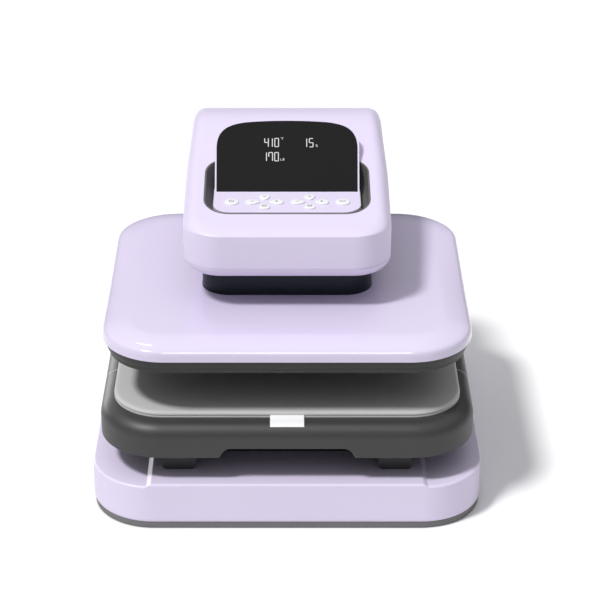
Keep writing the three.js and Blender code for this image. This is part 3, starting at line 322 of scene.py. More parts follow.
# %% The moulded grain group
def build_moulded_grain():
    group, given, out = open_group(
        "Moulded grain",
        [("Color", "NodeSocketColor", (0.8, 0.8, 0.8, 1)), ("Shade", "NodeSocketColor", (0.7, 0.7, 0.7, 1)),
         ("Grain per metre", "NodeSocketFloat", 1800.0), ("Roughness", "NodeSocketFloat", 0.4),
         ("Gloss change", "NodeSocketFloat", 0.08)],
        [("Color", "NodeSocketColor"), ("Roughness", "NodeSocketFloat"), ("Height", "NodeSocketFloat")])
    fine = noise(group, given.outputs["Grain per metre"], 2)
    cloud = noise(group, 9, 3)
    blend_shades(group, given, math_node(group, "MULTIPLY", cloud, 0.35), out)
    drift = math_node(group, "SUBTRACT", cloud, 0.5)
    drift = math_node(group, "MULTIPLY", drift, given.outputs["Gloss change"])
    sparkle = math_node(group, "SUBTRACT", fine, 0.5)
    sparkle = math_node(group, "MULTIPLY", sparkle, given.outputs["Gloss change"])
    total = math_node(group, "ADD", math_node(group, "ADD", drift, sparkle), given.outputs["Roughness"])
    group.links.new(total, out.inputs["Roughness"])
    group.links.new(fine, out.inputs["Height"])
    return group


moulded_grain = build_moulded_grain()
print("node group:", moulded_grain.name)


# %% The brushed metal group
def build_brushed_lines():
    group, given, out = open_group(
        "Brushed lines",
        [("Color", "NodeSocketColor", (0.5, 0.5, 0.5, 1)), ("Shade", "NodeSocketColor", (0.4, 0.4, 0.4, 1)),
         ("Lines per metre", "NodeSocketFloat", 90.0), ("Roughness", "NodeSocketFloat", 0.3)],
        [("Color", "NodeSocketColor"), ("Roughness", "NodeSocketFloat"), ("Height", "NodeSocketFloat")])
    lines = noise(group, given.outputs["Lines per metre"], 4, (1, 28, 28))
    blend_shades(group, given, lines, out)
    spread = math_node(group, "MULTIPLY", math_node(group, "SUBTRACT", lines, 0.5), 0.25)
    group.links.new(math_node(group, "ADD", spread, given.outputs["Roughness"]), out.inputs["Roughness"])
    group.links.new(lines, out.inputs["Height"])
    return group


brushed_lines = build_brushed_lines()
print("node group:", brushed_lines.name)


# %% [markdown]
# ## The finishes
#
# Each material holds its own Principled shader, and a group feeds its colour, roughness and bump. The lilac
# cover is polished and has a clear coat, the lilac base and head are satin, and the drawer is plain
# charcoal plastic with a dull grain. Numbers that are the same all over a face sit on the shader itself.


# %% A material with a group in it
def open_material(name):
    """A new material, its node tree and its Principled shader."""
    material = bpy.data.materials.new(name)
    material.use_nodes = True
    shader = material.node_tree.nodes["Principled BSDF"]
    return material, material.node_tree, shader


def feed(tree, shader, group, values, bump_depth):
    """Places a group in a material. Its height becomes a bump, bump_depth deep in millimetres."""
    node = tree.nodes.new("ShaderNodeGroup")
    node.node_tree = group
    for label, value in values.items():
        node.inputs[label].default_value = value
    tree.links.new(node.outputs["Color"], shader.inputs["Base Color"])
    tree.links.new(node.outputs["Roughness"], shader.inputs["Roughness"])
    bump = tree.nodes.new("ShaderNodeBump")
    bump.inputs["Distance"].default_value = bump_depth * MM
    bump.inputs["Strength"].default_value = 0.6
    tree.links.new(node.outputs["Height"], bump.inputs["Height"])
    tree.links.new(bump.outputs["Normal"], shader.inputs["Normal"])


print("material helpers ready")


# %% Moulded and brushed materials
def moulded(name, color, shade, roughness, grain, gloss_change, depth,
            coat=0.0, coat_roughness=0.05, specular=0.5):
    """Plastic, rubber or board: a grain that breaks up the gloss, with a clear coat where it is asked for."""
    material, tree, shader = open_material(name)
    feed(tree, shader, moulded_grain,
         {"Color": color, "Shade": shade, "Grain per metre": grain, "Roughness": roughness,
          "Gloss change": gloss_change}, depth)
    shader.inputs["Coat Weight"].default_value = coat
    shader.inputs["Coat Roughness"].default_value = coat_roughness
    shader.inputs["Specular IOR Level"].default_value = specular
    return material


def brushed(name, color, shade, roughness, lines):
    """Metal with fine lines along the part's X axis."""
    material, tree, shader = open_material(name)
    feed(tree, shader, brushed_lines,
         {"Color": color, "Shade": shade, "Lines per metre": lines, "Roughness": roughness}, 0.01)
    shader.inputs["Metallic"].default_value = 1.0
    return material


print("builders ready for plastic and metal")


# %% [markdown]
# Each line below gives a colour and its shade, then four numbers: roughness, grains per metre, how much the
# gloss changes, and how deep the grain is in millimetres. The lilac ones carry a clear coat, which does the
# shining, so their own reflection is turned down.

# %% Lilac and charcoal plastics
satin_lilac = moulded("satin_lilac", srgb(213, 204, 227), srgb(206, 196, 222), 0.4, 2600, 0.06, 0.006,
                      coat=0.2, coat_roughness=0.3, specular=0.3)
gloss_lilac = moulded("gloss_lilac", srgb(211, 202, 225), srgb(205, 196, 221), 0.2, 900, 0.03, 0.001,
                      coat=1.0, coat_roughness=0.03, specular=0.1)
charcoal = moulded("charcoal_plastic", srgb(55, 55, 55), srgb(49, 49, 50), 0.46, 2200, 0.08, 0.008)
ring_black = moulded("heat_guard_plastic", srgb(34, 34, 33), srgb(29, 29, 28), 0.42, 2200, 0.1, 0.015)
navy = moulded("navy_plastic", srgb(19, 29, 42), srgb(14, 22, 34), 0.34, 1800, 0.08, 0.006, specular=0.3)
pan_grey = moulded("pan_plastic", srgb(112, 111, 112), srgb(102, 101, 103), 0.6, 1800, 0.1, 0.02)
pocket_dark = moulded("pocket_plastic", srgb(96, 96, 92), srgb(78, 78, 77), 0.4, 2000, 0.1, 0.01)
print("large plastics ready")

# %% Small plastics, print, rubber and boards
button_white = moulded("button_white", srgb(230, 230, 232), srgb(222, 222, 226), 0.3, 1500, 0.05, 0.002,
                       coat=0.4, coat_roughness=0.1)
switch_black = moulded("switch_black", srgb(34, 34, 36), srgb(26, 26, 28), 0.25, 1500, 0.06, 0.003,
                       coat=0.3, coat_roughness=0.1)
tag_white = moulded("tag_white", srgb(240, 240, 240), srgb(230, 231, 233), 0.6, 3000, 0.1, 0.01)
icon_grey = moulded("icon_ink", srgb(84, 83, 90), srgb(74, 73, 80), 0.6, 2500, 0.05, 0.001)
foot_rubber = moulded("foot_rubber", srgb(44, 44, 45), srgb(36, 36, 37), 0.85, 1400, 0.15, 0.05)
board_green = moulded("board_green", srgb(30, 92, 58), srgb(24, 76, 48), 0.45, 400, 0.2, 0.02)
mineral_board = moulded("mineral_board", srgb(222, 216, 200), srgb(206, 198, 180), 0.9, 700, 0.1, 0.15)
print("small plastics ready")

# %% [markdown]
# Rails, posts and rods are steel with fine lines along them, so they use the brushed group and are fully
# metallic. The plate's non-stick coat is a dark and slightly uneven film. The pad is dull silicone with a
# faint sheen, which brightens it where light only grazes it.

# %% Metals, silicone and the plate's non-stick coat
steel = brushed("brushed_steel", srgb(172, 174, 178), srgb(150, 152, 158), 0.34, 90)
aluminium = brushed("milled_aluminium", srgb(204, 205, 208), srgb(188, 190, 194), 0.3, 60)
nonstick = moulded("nonstick_coat", srgb(44, 42, 41), srgb(34, 33, 33), 0.45, 1100, 0.2, 0.03)
silicone = moulded("pad_silicone", srgb(189, 189, 188), srgb(179, 179, 179), 0.6, 1300, 0.12, 0.05)
silicone.node_tree.nodes["Principled BSDF"].inputs["Sheen Weight"].default_value = 0.15
print("metals, silicone and the non-stick coat ready")

# %% [markdown]
# The screen is a dark pane with pale bars on it. A real pane mirrors more, but the bright sky overhead would
# then turn it grey, so its reflection is turned down. The bars give light of their own. Their strength stays
# a little below one, which keeps them from burning out.

# %% Screen glass and lit digits
screen_glass = moulded("screen_glass", srgb(27, 27, 27), srgb(22, 22, 23), 0.32, 500, 0.02, 0.0005,
                       specular=0.08)
lit_digits, _, lit_shader = open_material("lit_digits")
lit_shader.inputs["Base Color"].default_value = srgb(70, 70, 70)
lit_shader.inputs["Emission Color"].default_value = srgb(235, 237, 235)
lit_shader.inputs["Emission Strength"].default_value = 0.8
print("materials:", len(bpy.data.materials))

# %% [markdown]
# ## The base
#
# The base is a wide, shallow lilac tray turned upside down. It stands on a dark pan that is a little
# smaller, so a shadow line runs round its foot. Its top carries a raised deck between two slopes, on which
# the drawer runs. The deck is the same outline cut to a narrower band and joined on, so that its front edge
# follows the rim and steps up beside each slope, as it does on the real press.

# %% Sizes that several parts share
BASE_BOTTOM = 6.5
BASE_TOP = 52
DECK_TOP = 55
BEYOND = 220  # half the length of a cutter that passes through every part
base_plan = plan(423, 430, 68, -215)
print("base outline:", base_plan)


# %% Base housing and raised deck
def cross_block(name, section, near, far):
    """A closed block whose section in X and Z runs along Y from near to far."""
    count = len(section)
    verts = [(x, y, z) for y in (near, far) for x, z in section]
    faces = [tuple(range(count)), tuple(reversed(range(count, 2 * count)))]
    faces += [(i, i + count, (i + 1) % count + count, (i + 1) % count) for i in range(count)]
    return new_piece(name, verts, faces)


def build_base():
    base = loft("base_housing", rounded(base_plan, BASE_BOTTOM, BASE_TOP, 5, 2.5, 2.5))
    deck = loft("base_deck", rounded(base_plan, 30, DECK_TOP, 0, 2.5, 2.5))
    half, slope, low, high = 150, 5, 29, DECK_TOP + 0.6
    run = slope * (high - BASE_TOP) / (DECK_TOP - BASE_TOP)
    section = [(-half, low), (half, low), (half, BASE_TOP - 0.1), (half - run, high), (-half + run, high),
               (-half, BASE_TOP - 0.1)]
    carve(deck, cross_block("deck_band", section, -BEYOND, BEYOND), "INTERSECT")
    carve(base, deck, "UNION")
    smooth(base, 24)
    soften(base, 0.7, angle=24)
    return dress(base, satin_lilac, "stand", ["base_shell"])


base = build_base()
print("base:", len(base.data.polygons), "faces")


# %% [markdown]
# The pan shows as a grey band under the lilac, and its four rubber feet lift the press a little. The pan is
# lofted from a short list of insets and heights: a round at its foot, a small step and an upright side. The
# feet are turned about an upright axis, as on a lathe, which gives them a ribbed tread.

# %% The pan
def prism(shape, bottom, top):
    """Levels of an upright block with square edges."""
    return [(shape, bottom), (shape, top)]


pan_side = [(3.2, 0.6), (1.8, 0.8), (1.2, 1.5), (1.2, 8.8), (6.0, 8.8)]
pan = loft("base_pan", [(inset(base_plan, amount), height) for amount, height in pan_side])
carve(pan, loft("pan_hollow", prism(inset(base_plan, 5.0), -2, 4.2)))
smooth(pan, 35)
dress(pan, pan_grey, "stand", ["base_plate"])
print("pan:", len(pan.data.polygons), "faces")


# %% Turning a profile
def place(piece, matrix):
    """Moves the mesh itself, so that the object's own place stays at the origin."""
    piece.data.transform(matrix)
    return piece


def lathe(name, profile, steps=40):
    """Turns a profile of (radius, height) points about the upright axis. Its ends lie on the axis."""
    verts, faces = [(0, 0, profile[0][1])], []
    for radius, height in profile[1:-1]:
        for step in range(steps):
            angle = 2 * math.pi * step / steps
            verts.append((radius * math.cos(angle), radius * math.sin(angle), height))
    verts.append((0, 0, profile[-1][1]))
    rings = len(profile) - 2
    for step in range(steps):
        after = (step + 1) % steps
        faces.append((0, 1 + after, 1 + step))
        for ring in range(rings - 1):
            low, high = 1 + ring * steps, 1 + (ring + 1) * steps
            faces.append((low + step, low + after, high + after, high + step))
        top = 1 + (rings - 1) * steps
        faces.append((top + step, top + after, len(verts) - 1))
    return new_piece(name, verts, faces)


print("lathe ready")


# %% The feet
FOOT_X = 149.5
FOOT_Y = 153
foot_profile = [(0, 0.6), (5, 0.6), (6, 0), (9, 0), (10, 0.6), (11, 0.6), (12, 0), (14.6, 0),
                (16.4, 0.7), (17, 2), (17, 6.2), (0, 6.2)]
for end, y in (("front", -FOOT_Y), ("rear", FOOT_Y)):
    for side, x in (("left", -FOOT_X), ("right", FOOT_X)):
        foot = f"foot_{end}_{side}"
        tread = lathe(foot + "_tread", foot_profile)
        place(tread, Matrix.Translation((x * MM, y * MM, 0)))
        smooth(tread, 30)
        dress(tread, foot_rubber, "stand", [foot])
print("feet ready")

# %% [markdown]
# ## The drawer
#
# The charcoal tray has straight sides and a broad round rim, in which the pad lies. A wide notch in its
# lower front edge is the finger grip. A thin seam crosses both side rims, where the front bumper meets the
# rest, and a pale seal fills it. Recess, notch and seam are cut from the plain loft, so the edges of all the
# cuts are softened together.

# %% Sizes of the tray
TRAY_BOTTOM = 84
TRAY_TOP = 121
RIM_IN = 17  # the round of the rim, measured inwards
RIM_UP = 16  # the same round, measured upwards
RECESS_FLOOR = 112.7
HOLLOW_TOP = 107.7
GRIP_HALF = 72
SEAM = (-78.65, -77.35)
SEAL = (-78.55, -77.45)
tray_plan = plan(403, 359.5, 68, -208.5)
pad_plan = plan(374.5, 333.5, 56, -187)
print("pad recess, depth in mm:", round(TRAY_TOP - RECESS_FLOOR, 1))


# %% Cutters of the tray
def block(name, low, high):
    """A plain box used only as a cutter."""
    (x0, y0, z0), (x1, y1, z1) = low, high
    verts = [(x, y, z) for z in (z0, z1) for y in (y0, y1) for x in (x0, x1)]
    faces = [(0, 2, 3, 1), (4, 5, 7, 6), (0, 1, 5, 4), (1, 3, 7, 5), (3, 2, 6, 7), (2, 0, 4, 6)]
    return new_piece(name, verts, faces)


def bezier(points, steps):
    """Points along a Bezier curve of any degree, without its last point."""
    found = []
    for step in range(steps):
        layer, share = list(points), step / steps
        while len(layer) > 1:
            layer = [tuple(a + (b - a) * share for a, b in zip(p, q)) for p, q in zip(layer, layer[1:])]
        found.append(layer[0])
    return found


def grip_cutter():
    """The finger notch: steep ends that sweep into a flat top."""
    low, high = TRAY_BOTTOM - 2, TRAY_BOTTOM + 11
    flat = (GRIP_HALF - 12.6, high)
    sweep = bezier([(GRIP_HALF, TRAY_BOTTOM), (GRIP_HALF - 2.4, TRAY_BOTTOM + 4.2),
                    (GRIP_HALF - 4.5, high), flat], 9)
    right = [(GRIP_HALF, low)] + sweep + [flat]
    return cross_block("grip_cutter", right + [(-x, z) for x, z in reversed(right)], -212, -190)


print("finger notch, width in mm:", 2 * GRIP_HALF)


# %% The tray and its seal
def build_seal(levels):
    """A thin strip in the seam: the tray's own skin, cut to a band and hollowed."""
    seal = block("tray_seal", (-BEYOND, SEAL[0], TRAY_BOTTOM + 0.2), (BEYOND, SEAL[1], 125))
    carve(seal, loft("seal_skin", levels), "INTERSECT")
    carve(seal, loft("seal_core", [(inset(shape, 1.0), height) for shape, height in levels]))
    smooth(seal)
    return dress(seal, silicone, "drawer")


def build_tray():
    levels = rounded(tray_plan, TRAY_BOTTOM, TRAY_TOP, 0, RIM_IN, RIM_UP, steps=12)
    tray = loft("tray_body", levels)
    carve(tray, loft("pad_recess", prism(inset(pad_plan, -0.4), RECESS_FLOOR, 130)))
    carve(tray, loft("tray_hollow", prism(inset(tray_plan, 11.5), 80, HOLLOW_TOP)))
    carve(tray, grip_cutter())
    groove = block("seam_cutter", (-BEYOND, SEAM[0], 80), (BEYOND, SEAM[1], 125))
    carve(groove, loft("seam_core", [(inset(shape, 1.1), height) for shape, height in levels]))
    seal = build_seal(levels)
    carve(tray, groove)
    smooth(tray)
    soften(tray, 0.5)
    return dress(tray, charcoal, "drawer", ["drawer_tray"]), seal


tray, seal = build_tray()
print("tray:", len(tray.data.polygons), "faces")

# %% [markdown]
# The pad is a thick silicone mat. It has a thin lip at its foot, a groove above the lip and a soft upper
# edge, so its side shows two fine lines. Silicone this thick lies flat and keeps its shape, so a cloth
# simulation would add nothing. The list below spells the side out from bottom to top instead.

# %% The pad
pad_side = [(0.0, 121), (0.0, 122.3), (0.5, 122.7), (0.55, 123.1), (0.1, 123.5), (0.1, 124.4), (0.35, 125.3),
            (0.85, 126.1), (1.55, 126.8), (2.5, 127.3), (3.6, 127.5), (6.0, 127.5)]
pad = loft("pad_mat", [(inset(pad_plan, amount), height) for amount, height in pad_side])
smooth(pad, 60)
dress(pad, silicone, "drawer", ["press_pad"])
print("pad:", len(pad.data.polygons), "faces")


# %% [markdown]
# A small white tab leaves the pad's side and lies over the tray's rim. It is bare on both sides. A strip
# of quads follows the rim at a small distance, and a Solidify modifier gives it its thickness.

# %% The bare tab
def build_tab():
    gap = 0.45
    path = [(-187.5, 124.3), (-188.6, 122.3)]
    for step in range(11):
        amount = RIM_IN - 10.5 * step / 10
        sine = math.sqrt(1 - (1 - amount / RIM_IN) ** 2)
        path.append((tray_plan["front"] + amount, TRAY_TOP + gap - RIM_UP * (1 - sine)))
    columns = [-18 + 3 * i for i in range(13)]
    verts = [(x, y, z) for y, z in path for x in columns]
    wide = len(columns)
    faces = [(r * wide + i, r * wide + wide + i, r * wide + wide + i + 1, r * wide + i + 1)
             for r in range(len(path) - 1) for i in range(wide - 1)]
    tab = new_piece("pad_tab", verts, faces)
    thick = tab.modifiers.new("thickness", "SOLIDIFY")
    thick.thickness = 0.6 * MM
    thick.offset = -1.0
    smooth(tab, 60)
    soften(tab, 0.12, segments=1)
    return dress(tab, tag_white, "drawer", ["pad_tag"])


tab = build_tab()
print("tab:", len(tab.data.polygons), "faces")

# %% [markdown]
# ## The heated plate and its cover
#
# The cover is the part that shines most. It is a thick lilac lid whose top falls away slowly near its edge
# and then turns down with a tight round, where its clear coat shows a long bright line. One list gives that
# side, point by point: how far in a ring lies, how far the slow slope has fallen there, and how far the
# tight round has. The slow slope fades towards the rear, so only the front and the sides lean outwards.
# Under the cover sits a dark guard ring, and inside the ring the plate itself. They move down together, so
# all of them ride on the body named press.

# %% Sizes of the cover
COVER_EDGE = 193.5
COVER_TOP = 212.1
cover_plan = plan(394, 355.5, 69, -200)
neck_plan = plan(186, 142, 30, -77)
cover_slope = [(0.0, 5.5, 8.0), (0.05, 5.5, 6.3), (0.3, 5.45, 4.9), (0.8, 5.35, 3.75), (1.6, 5.15, 2.8),
               (2.7, 4.95, 2.0), (4.3, 4.6, 1.35), (7.0, 4.0, 0.75), (12.0, 2.95, 0.3), (17.0, 1.9, 0.1),
               (21.0, 1.15, 0), (24.0, 0.65, 0), (26.0, 0.35, 0), (28.0, 0.13, 0), (30.5, 0.02, 0),
               (34.0, 0, 0), (60.0, 0, 0)]
print("rings in the cover's side:", len(cover_slope))


# %% The glossy cover
def smoothstep(value, first, last):
    """A share that goes from 0 at first to 1 at last with a soft start and end."""
    share = min(max((value - first) / (last - first), 0), 1)
    return share * share * (3 - 2 * share)


def cover_height(slope, drop):
    """Height of one ring. The slope is strong at the front and nearly gone at the rear."""
    return lambda y: COVER_TOP - drop - slope * (1 - 0.7 * smoothstep(y, -60, 110))


def build_cover():
    levels = [(cover_plan, COVER_EDGE)]
    levels += [(inset(cover_plan, amount), cover_height(slope, drop)) for amount, slope, drop in cover_slope]
    cover = loft("plate_cover", levels, 24, 18)
    hollow = [(inset(cover_plan, 2.6), 190), (inset(cover_plan, 2.6), 198), (inset(cover_plan, 6), 202.2),
              (inset(cover_plan, 30), 208.6), (inset(cover_plan, 40), 209.5)]
    carve(cover, loft("cover_hollow", hollow))
    carve(cover, loft("neck_way", prism(inset(neck_plan, -0.4), 190, 220)))
    smooth(cover)
    soften(cover, 0.4)
    return dress(cover, gloss_lilac, "press", ["press_cover"])


cover = build_cover()
print("cover:", len(cover.data.polygons), "faces")

# %% The guard ring
guard_plan = inset(cover_plan, 2.9)
guard_side = [(2.4, 183.3), (1.9, 183.5), (1.3, 184.2), (0.9, 185.4), (0.5, 187.5), (0, 190.5), (0, 194.9)]
guard = loft("heat_guard", [(inset(guard_plan, amount), height) for amount, height in guard_side])
carve(guard, loft("guard_way", prism(inset(guard_plan, 3.2), 180, 198)))
smooth(guard, 45)
soften(guard, 0.3)
dress(guard, ring_black, "press", ["heat_skirt"])
print("guard ring:", len(guard.data.polygons), "faces")

# %% The heated plate
plate_plan = inset(cover_plan, 6.4)
plate = loft("heated_plate", rounded(plate_plan, 177.5, 189.5, 1.2, 0.4, 0.4, steps=5))
smooth(plate, 35)
dress(plate, nonstick, "press", ["hot_plate"])
print("heated plate:", len(plate.data.polygons), "faces")


# %% [markdown]
# ## The neck and the head
#
# A dark sleeve joins the moving plate to the head, and a second one inside it, which is fixed to the head,
# closes the gap when the plate is down. The head's lid rises gently from its front edge to a crest and rolls
# down at the back. That rise depends only on how far back a point lies, so the loft takes it as a height that
# follows Y, and every ring keeps its shape in plan. Bending a finished box would give less even rings. The
# head is a little narrower at its crest, so its points are drawn in there at the end.

# %% The sleeve
def tube(name, shape, wall, bottom, top):
    """An upright sleeve with an open bore and a small round on its upper rim."""
    sleeve = loft(name, rounded(shape, bottom, top, 0, 0.6, 0.6, steps=4))
    carve(sleeve, loft("bore", prism(inset(shape, wall), bottom - 3, top + 3)))
    smooth(sleeve, 35)
    return sleeve


NECK_WALL = 2.5
NECK_TOP = 278.1
dress(tube("neck_cover", neck_plan, NECK_WALL, 204.5, NECK_TOP), navy, "press", ["neck_sleeve"])
liner_plan = inset(neck_plan, 3.15)
dress(tube("neck_inner", liner_plan, NECK_WALL, 215.1, NECK_TOP), navy, "stand", ["neck_liner"])
print("neck ready")

# %% Sizes of the head
HEAD_BOTTOM = 249.1
HEAD_SEAM = 260.6  # where the lid meets the lower tray
HEAD_CREASE = 300.5  # top of the lid at its front edge
HEAD_FRONT = -115
HEAD_WALL = 3
LID_SLOPE = math.tan(math.radians(11.25))
CREST_RUN = 215  # how far behind the front edge the lid starts to roll over
ROLL_OVER = 0.00425
EDGE_ROUND = 15.5
CREASE_DROP = 3.2
SIDE_DROP = 13.3  # what the sides and the back turn down more than the crease
head_plan = plan(224, 320, 42, HEAD_FRONT)
pocket_plan = plan(180, 107, 28, -77)
print("head outline:", head_plan)


# %% The lid's height
def head_top(y):
    """Height of the lid: a gentle slope that rolls over behind the crest."""
    run = max(y - HEAD_FRONT, 0)
    bend = max(run - CREST_RUN, 0)
    return HEAD_CREASE + run * LID_SLOPE - ROLL_OVER * bend * bend


def edge_drop(y):
    """How far the lid's edge turns down: hardly at the front crease, broadly at the sides and back."""
    return CREASE_DROP + SIDE_DROP * smoothstep(y, HEAD_FRONT, HEAD_FRONT + 45)


def lid_levels(shape, bottom, drop, steps=12):
    """Outlines of the lid, or of its hollow, which lies lower by drop."""
    levels = [(shape, bottom)]
    for step in range(steps + 1):
        angle = step / steps * math.pi / 2
        levels.append((inset(shape, EDGE_ROUND * (1 - math.cos(angle))),
                       lambda y, s=1 - math.sin(angle): head_top(y) - drop - edge_drop(y) * s))
    levels.append((inset(shape, EDGE_ROUND + 3), lambda y: head_top(y) - drop))
    return levels


print("lid height over the crest in mm:", round(head_top(HEAD_FRONT + CREST_RUN), 1))


# %% The lid and the lower tray of the head
REAR_NARROWING = 0.028


def narrow_rear(piece):
    """Draws the head in a little towards its crest, as seen in the photograph."""
    for vertex in piece.data.vertices:
        vertex.co.x *= 1 - REAR_NARROWING * smoothstep(vertex.co.y / MM, 10, 120)
    return piece


def build_lid():
    lid = loft("head_lid", lid_levels(head_plan, HEAD_SEAM + 0.3, 0), 18, 30)
    carve(lid, loft("lid_hollow", lid_levels(inset(head_plan, HEAD_WALL), 256, HEAD_WALL, 6), 12, 20))
    way = inset(pocket_plan, -0.3)
    carve(lid, loft("pocket_way", [(way, HEAD_SEAM - 1), (way, lambda y: head_top(y) + 4)], 14, 10))
    smooth(narrow_rear(lid))
    soften(lid, 0.5)
    return dress(lid, satin_lilac, "stand", ["head_shell"])


def build_under():
    under_side = [(10.5, 0), (9, 0), (7.2, 0.5), (5.2, 1.9), (3, 4), (1.4, 6.2), (0.4, 8.6), (0, 10.6),
                  (0, 11.5), (2, 11.5)]
    levels = [(inset(head_plan, amount), HEAD_BOTTOM + rise) for amount, rise in under_side]
    under = loft("head_under", levels)
    carve(under, loft("under_hollow", prism(inset(head_plan, 12), HEAD_BOTTOM + 3, HEAD_SEAM + 4)))
    carve(under, loft("under_neck_way", prism(inset(neck_plan, -0.6), HEAD_BOTTOM - 4, HEAD_BOTTOM + 6)))
    smooth(narrow_rear(under))
    return dress(under, satin_lilac, "stand", ["head_tray"])


lid = build_lid()
under = build_under()
print("head lid:", len(lid.data.polygons), "faces")

# %% [markdown]
# ## The control pocket
#
# The controls sit in a dark dish that is sunk in the lid. Only its two ears and a thin line at the front
# are seen. It could be bent from a sheet, but then its rim would have to be fitted to the sloping lid. So it
# is a block that ends at the lid's own height, with a bowl cut from it whose walls round into the floor.

# %% The dark dish
SHELF_TOP = head_top(pocket_plan["front"]) - 0.9
POCKET_FLOOR = SHELF_TOP - 9
BOWL_ROUND = 14


def bowl(grow, lift, steps=10):
    """Outlines of the dish's hollow, drawn in by grow and raised by lift."""
    levels = []
    for step in range(steps + 1):
        angle = math.pi / 2 * (1 - step / steps)
        amount = BOWL_ROUND * (1 - math.cos(angle)) + grow
        share = 1 - math.sin(angle)
        levels.append((inset(pocket_plan, amount),
                       lambda y, s=share: POCKET_FLOOR + lift + (head_top(y) - POCKET_FLOOR) * s))
    levels.append((inset(pocket_plan, grow), lambda y: head_top(y) + 26))
    return levels


def build_dish():
    rim = [(pocket_plan, POCKET_FLOOR - 3), (pocket_plan, head_top)]
    dish = loft("control_dish", rim, 16, 10)
    carve(dish, loft("dish_bowl", bowl(1.5, 0), 16, 10))
    smooth(dish)
    soften(dish, 0.35)
    return dress(dish, pocket_dark, "stand", ["control_pocket"])


dish = build_dish()
print("dish:", len(dish.data.polygons), "faces")

# %% [markdown]
# ## The display housing
#
# One lilac moulding carries both the buttons and the screen. Its front shelf is nearly level, and behind
# it the screen rises at 30 degrees. Its lower edge is square and its upper corners are swept, so the face
# is drawn as a flat outline first and then given depth along the tilted normal.

# %% Places of the shelf and the screen
SHELF_TILT = math.radians(2.4)
SCREEN_TILT = math.radians(30)
SHELF_FRONT = -70
SHELF_DEPTH = 49.6
SCREEN_FRONT = SHELF_FRONT + SHELF_DEPTH * math.cos(SHELF_TILT)
SCREEN_FOOT = SHELF_TOP + SHELF_DEPTH * math.sin(SHELF_TILT)


def tilted(y, z, tilt):
    """The place of a face whose front edge lies at y and z, and which rises by tilt behind it."""
    return Matrix.Translation((0, y * MM, z * MM)) @ Matrix.Rotation(tilt, 4, "X")


on_shelf = tilted(SHELF_FRONT, SHELF_TOP, SHELF_TILT)
on_screen = tilted(SCREEN_FRONT, SCREEN_FOOT, SCREEN_TILT)
print("screen foot in mm:", round(SCREEN_FRONT, 1), round(SCREEN_FOOT, 1))


# %% Flat outlines with depth
def screen_outline(margin, bottom):
    """The face's outline. It widens a little upwards, then sweeps over into a flat arch."""
    half, foot, top = 80 - margin, 79 - margin, 102.2 - margin
    side = bezier([(half, top - 42), (half + 1, top - 14), (half - 10.5, top - 5.2), (44, top - 2)], 22)
    arch = bezier([(44, top - 2), (0, top + 2), (-44, top - 2)], 20)
    other = bezier([(-44, top - 2), (-half + 10.5, top - 5.2), (-half - 1, top - 14), (-half, top - 42)], 22)
    return [(-foot, bottom), (foot, bottom)] + side + arch + other + [(-half, top - 42)]


def flat_blocks(name, shapes, low, high):
    """Flat outlines in one mesh, each given depth along its normal, from low to high."""
    verts, faces = [], []
    for shape in shapes:
        first, count = len(verts), len(shape)
        verts += [(x, y, z) for z in (low, high) for x, y in shape]
        faces.append(tuple(reversed(range(first, first + count))))
        faces.append(tuple(range(first + count, first + 2 * count)))
        faces += [tuple(first + i for i in quad) for quad in ring_faces(count, 2)]
    return new_piece(name, verts, faces)


print("points round the screen's face:", len(screen_outline(0, 0)))


# %% The housing
def build_housing():
    shelf_plan = plan(160, SHELF_DEPTH + 40, 20, 0)
    shelf = loft("shelf", rounded(shelf_plan, -18, 0, 0, 1, 1, steps=5))
    carve(shelf, block("shelf_keep", (-90, -5, -30), (90, SHELF_DEPTH + 10, 10)), "INTERSECT")
    place(shelf, on_shelf)
    wedge = place(flat_blocks("display_shell", [screen_outline(0, 0)], -26, 0), on_screen)
    carve(wedge, shelf, "UNION")
    recess = flat_blocks("glass_recess", [screen_outline(1.7, 0.7)], -1.9, 26)
    carve(wedge, place(recess, on_screen))
    around = inset(head_plan, -2)
    below = loft("below_head", [(around, HEAD_SEAM), (around, lambda y: head_top(y) + 0.3)], 16, 30)
    carve(below, loft("bowl_space", bowl(1.8, 0.3), 16, 10))
    carve(wedge, below)
    smooth(wedge)
    soften(wedge, 0.5, segments=3)
    return dress(wedge, satin_lilac, "stand", ["display_housing"])


display = build_housing()
print("display housing:", len(display.data.polygons), "faces")

# %% [markdown]
# The pane lies in the housing's recess, level with the frame round it. It is drawn from the frame's own
# outline with a larger margin, so a narrow even gap runs round it. A plain rectangle would miss the swept
# corners.

# %% The glass
glass = place(flat_blocks("screen_pane", [screen_outline(2, 1)], -1.6, 0), on_screen)
smooth(glass)
soften(glass, 0.35)
dress(glass, screen_glass, "stand", ["display_glass"])
print("screen pane:", len(glass.data.polygons), "faces")

# %% [markdown]
# ## The lit digits
#
# The screen shows three plain numbers in bars, as a segment display does. A text object has only the shapes
# of its font, so here each bar is a thin plate with pointed ends, and a table says which bars a digit lights.
# All bars of one number are joined in a single mesh, so the screen needs only a few pieces. The tiny unit
# marks beside them are made from short bars in the same way.

# %% Bars and the numbers made of them
SEGMENTS = {"0": "abcdef", "1": "bc", "4": "bcfg", "5": "acdfg", "7": "abcf"}
DIGIT = {"wide": 4.1, "high": 11.8, "bar": 1.0, "proud": 0.15}
UNIT_BAR = 0.42


def bar_points(start, end, thickness):
    """Six corners of a bar with pointed ends."""
    direction = (Vector(end) - Vector(start)).normalized()
    across = Vector((-direction.y, direction.x)) * thickness / 2
    first = Vector(start) + direction * thickness * 0.35
    last = Vector(end) - direction * thickness * 0.35
    tip = direction * thickness / 2
    return [first - across, last - across, last + tip, last + across, first + across, first - tip]


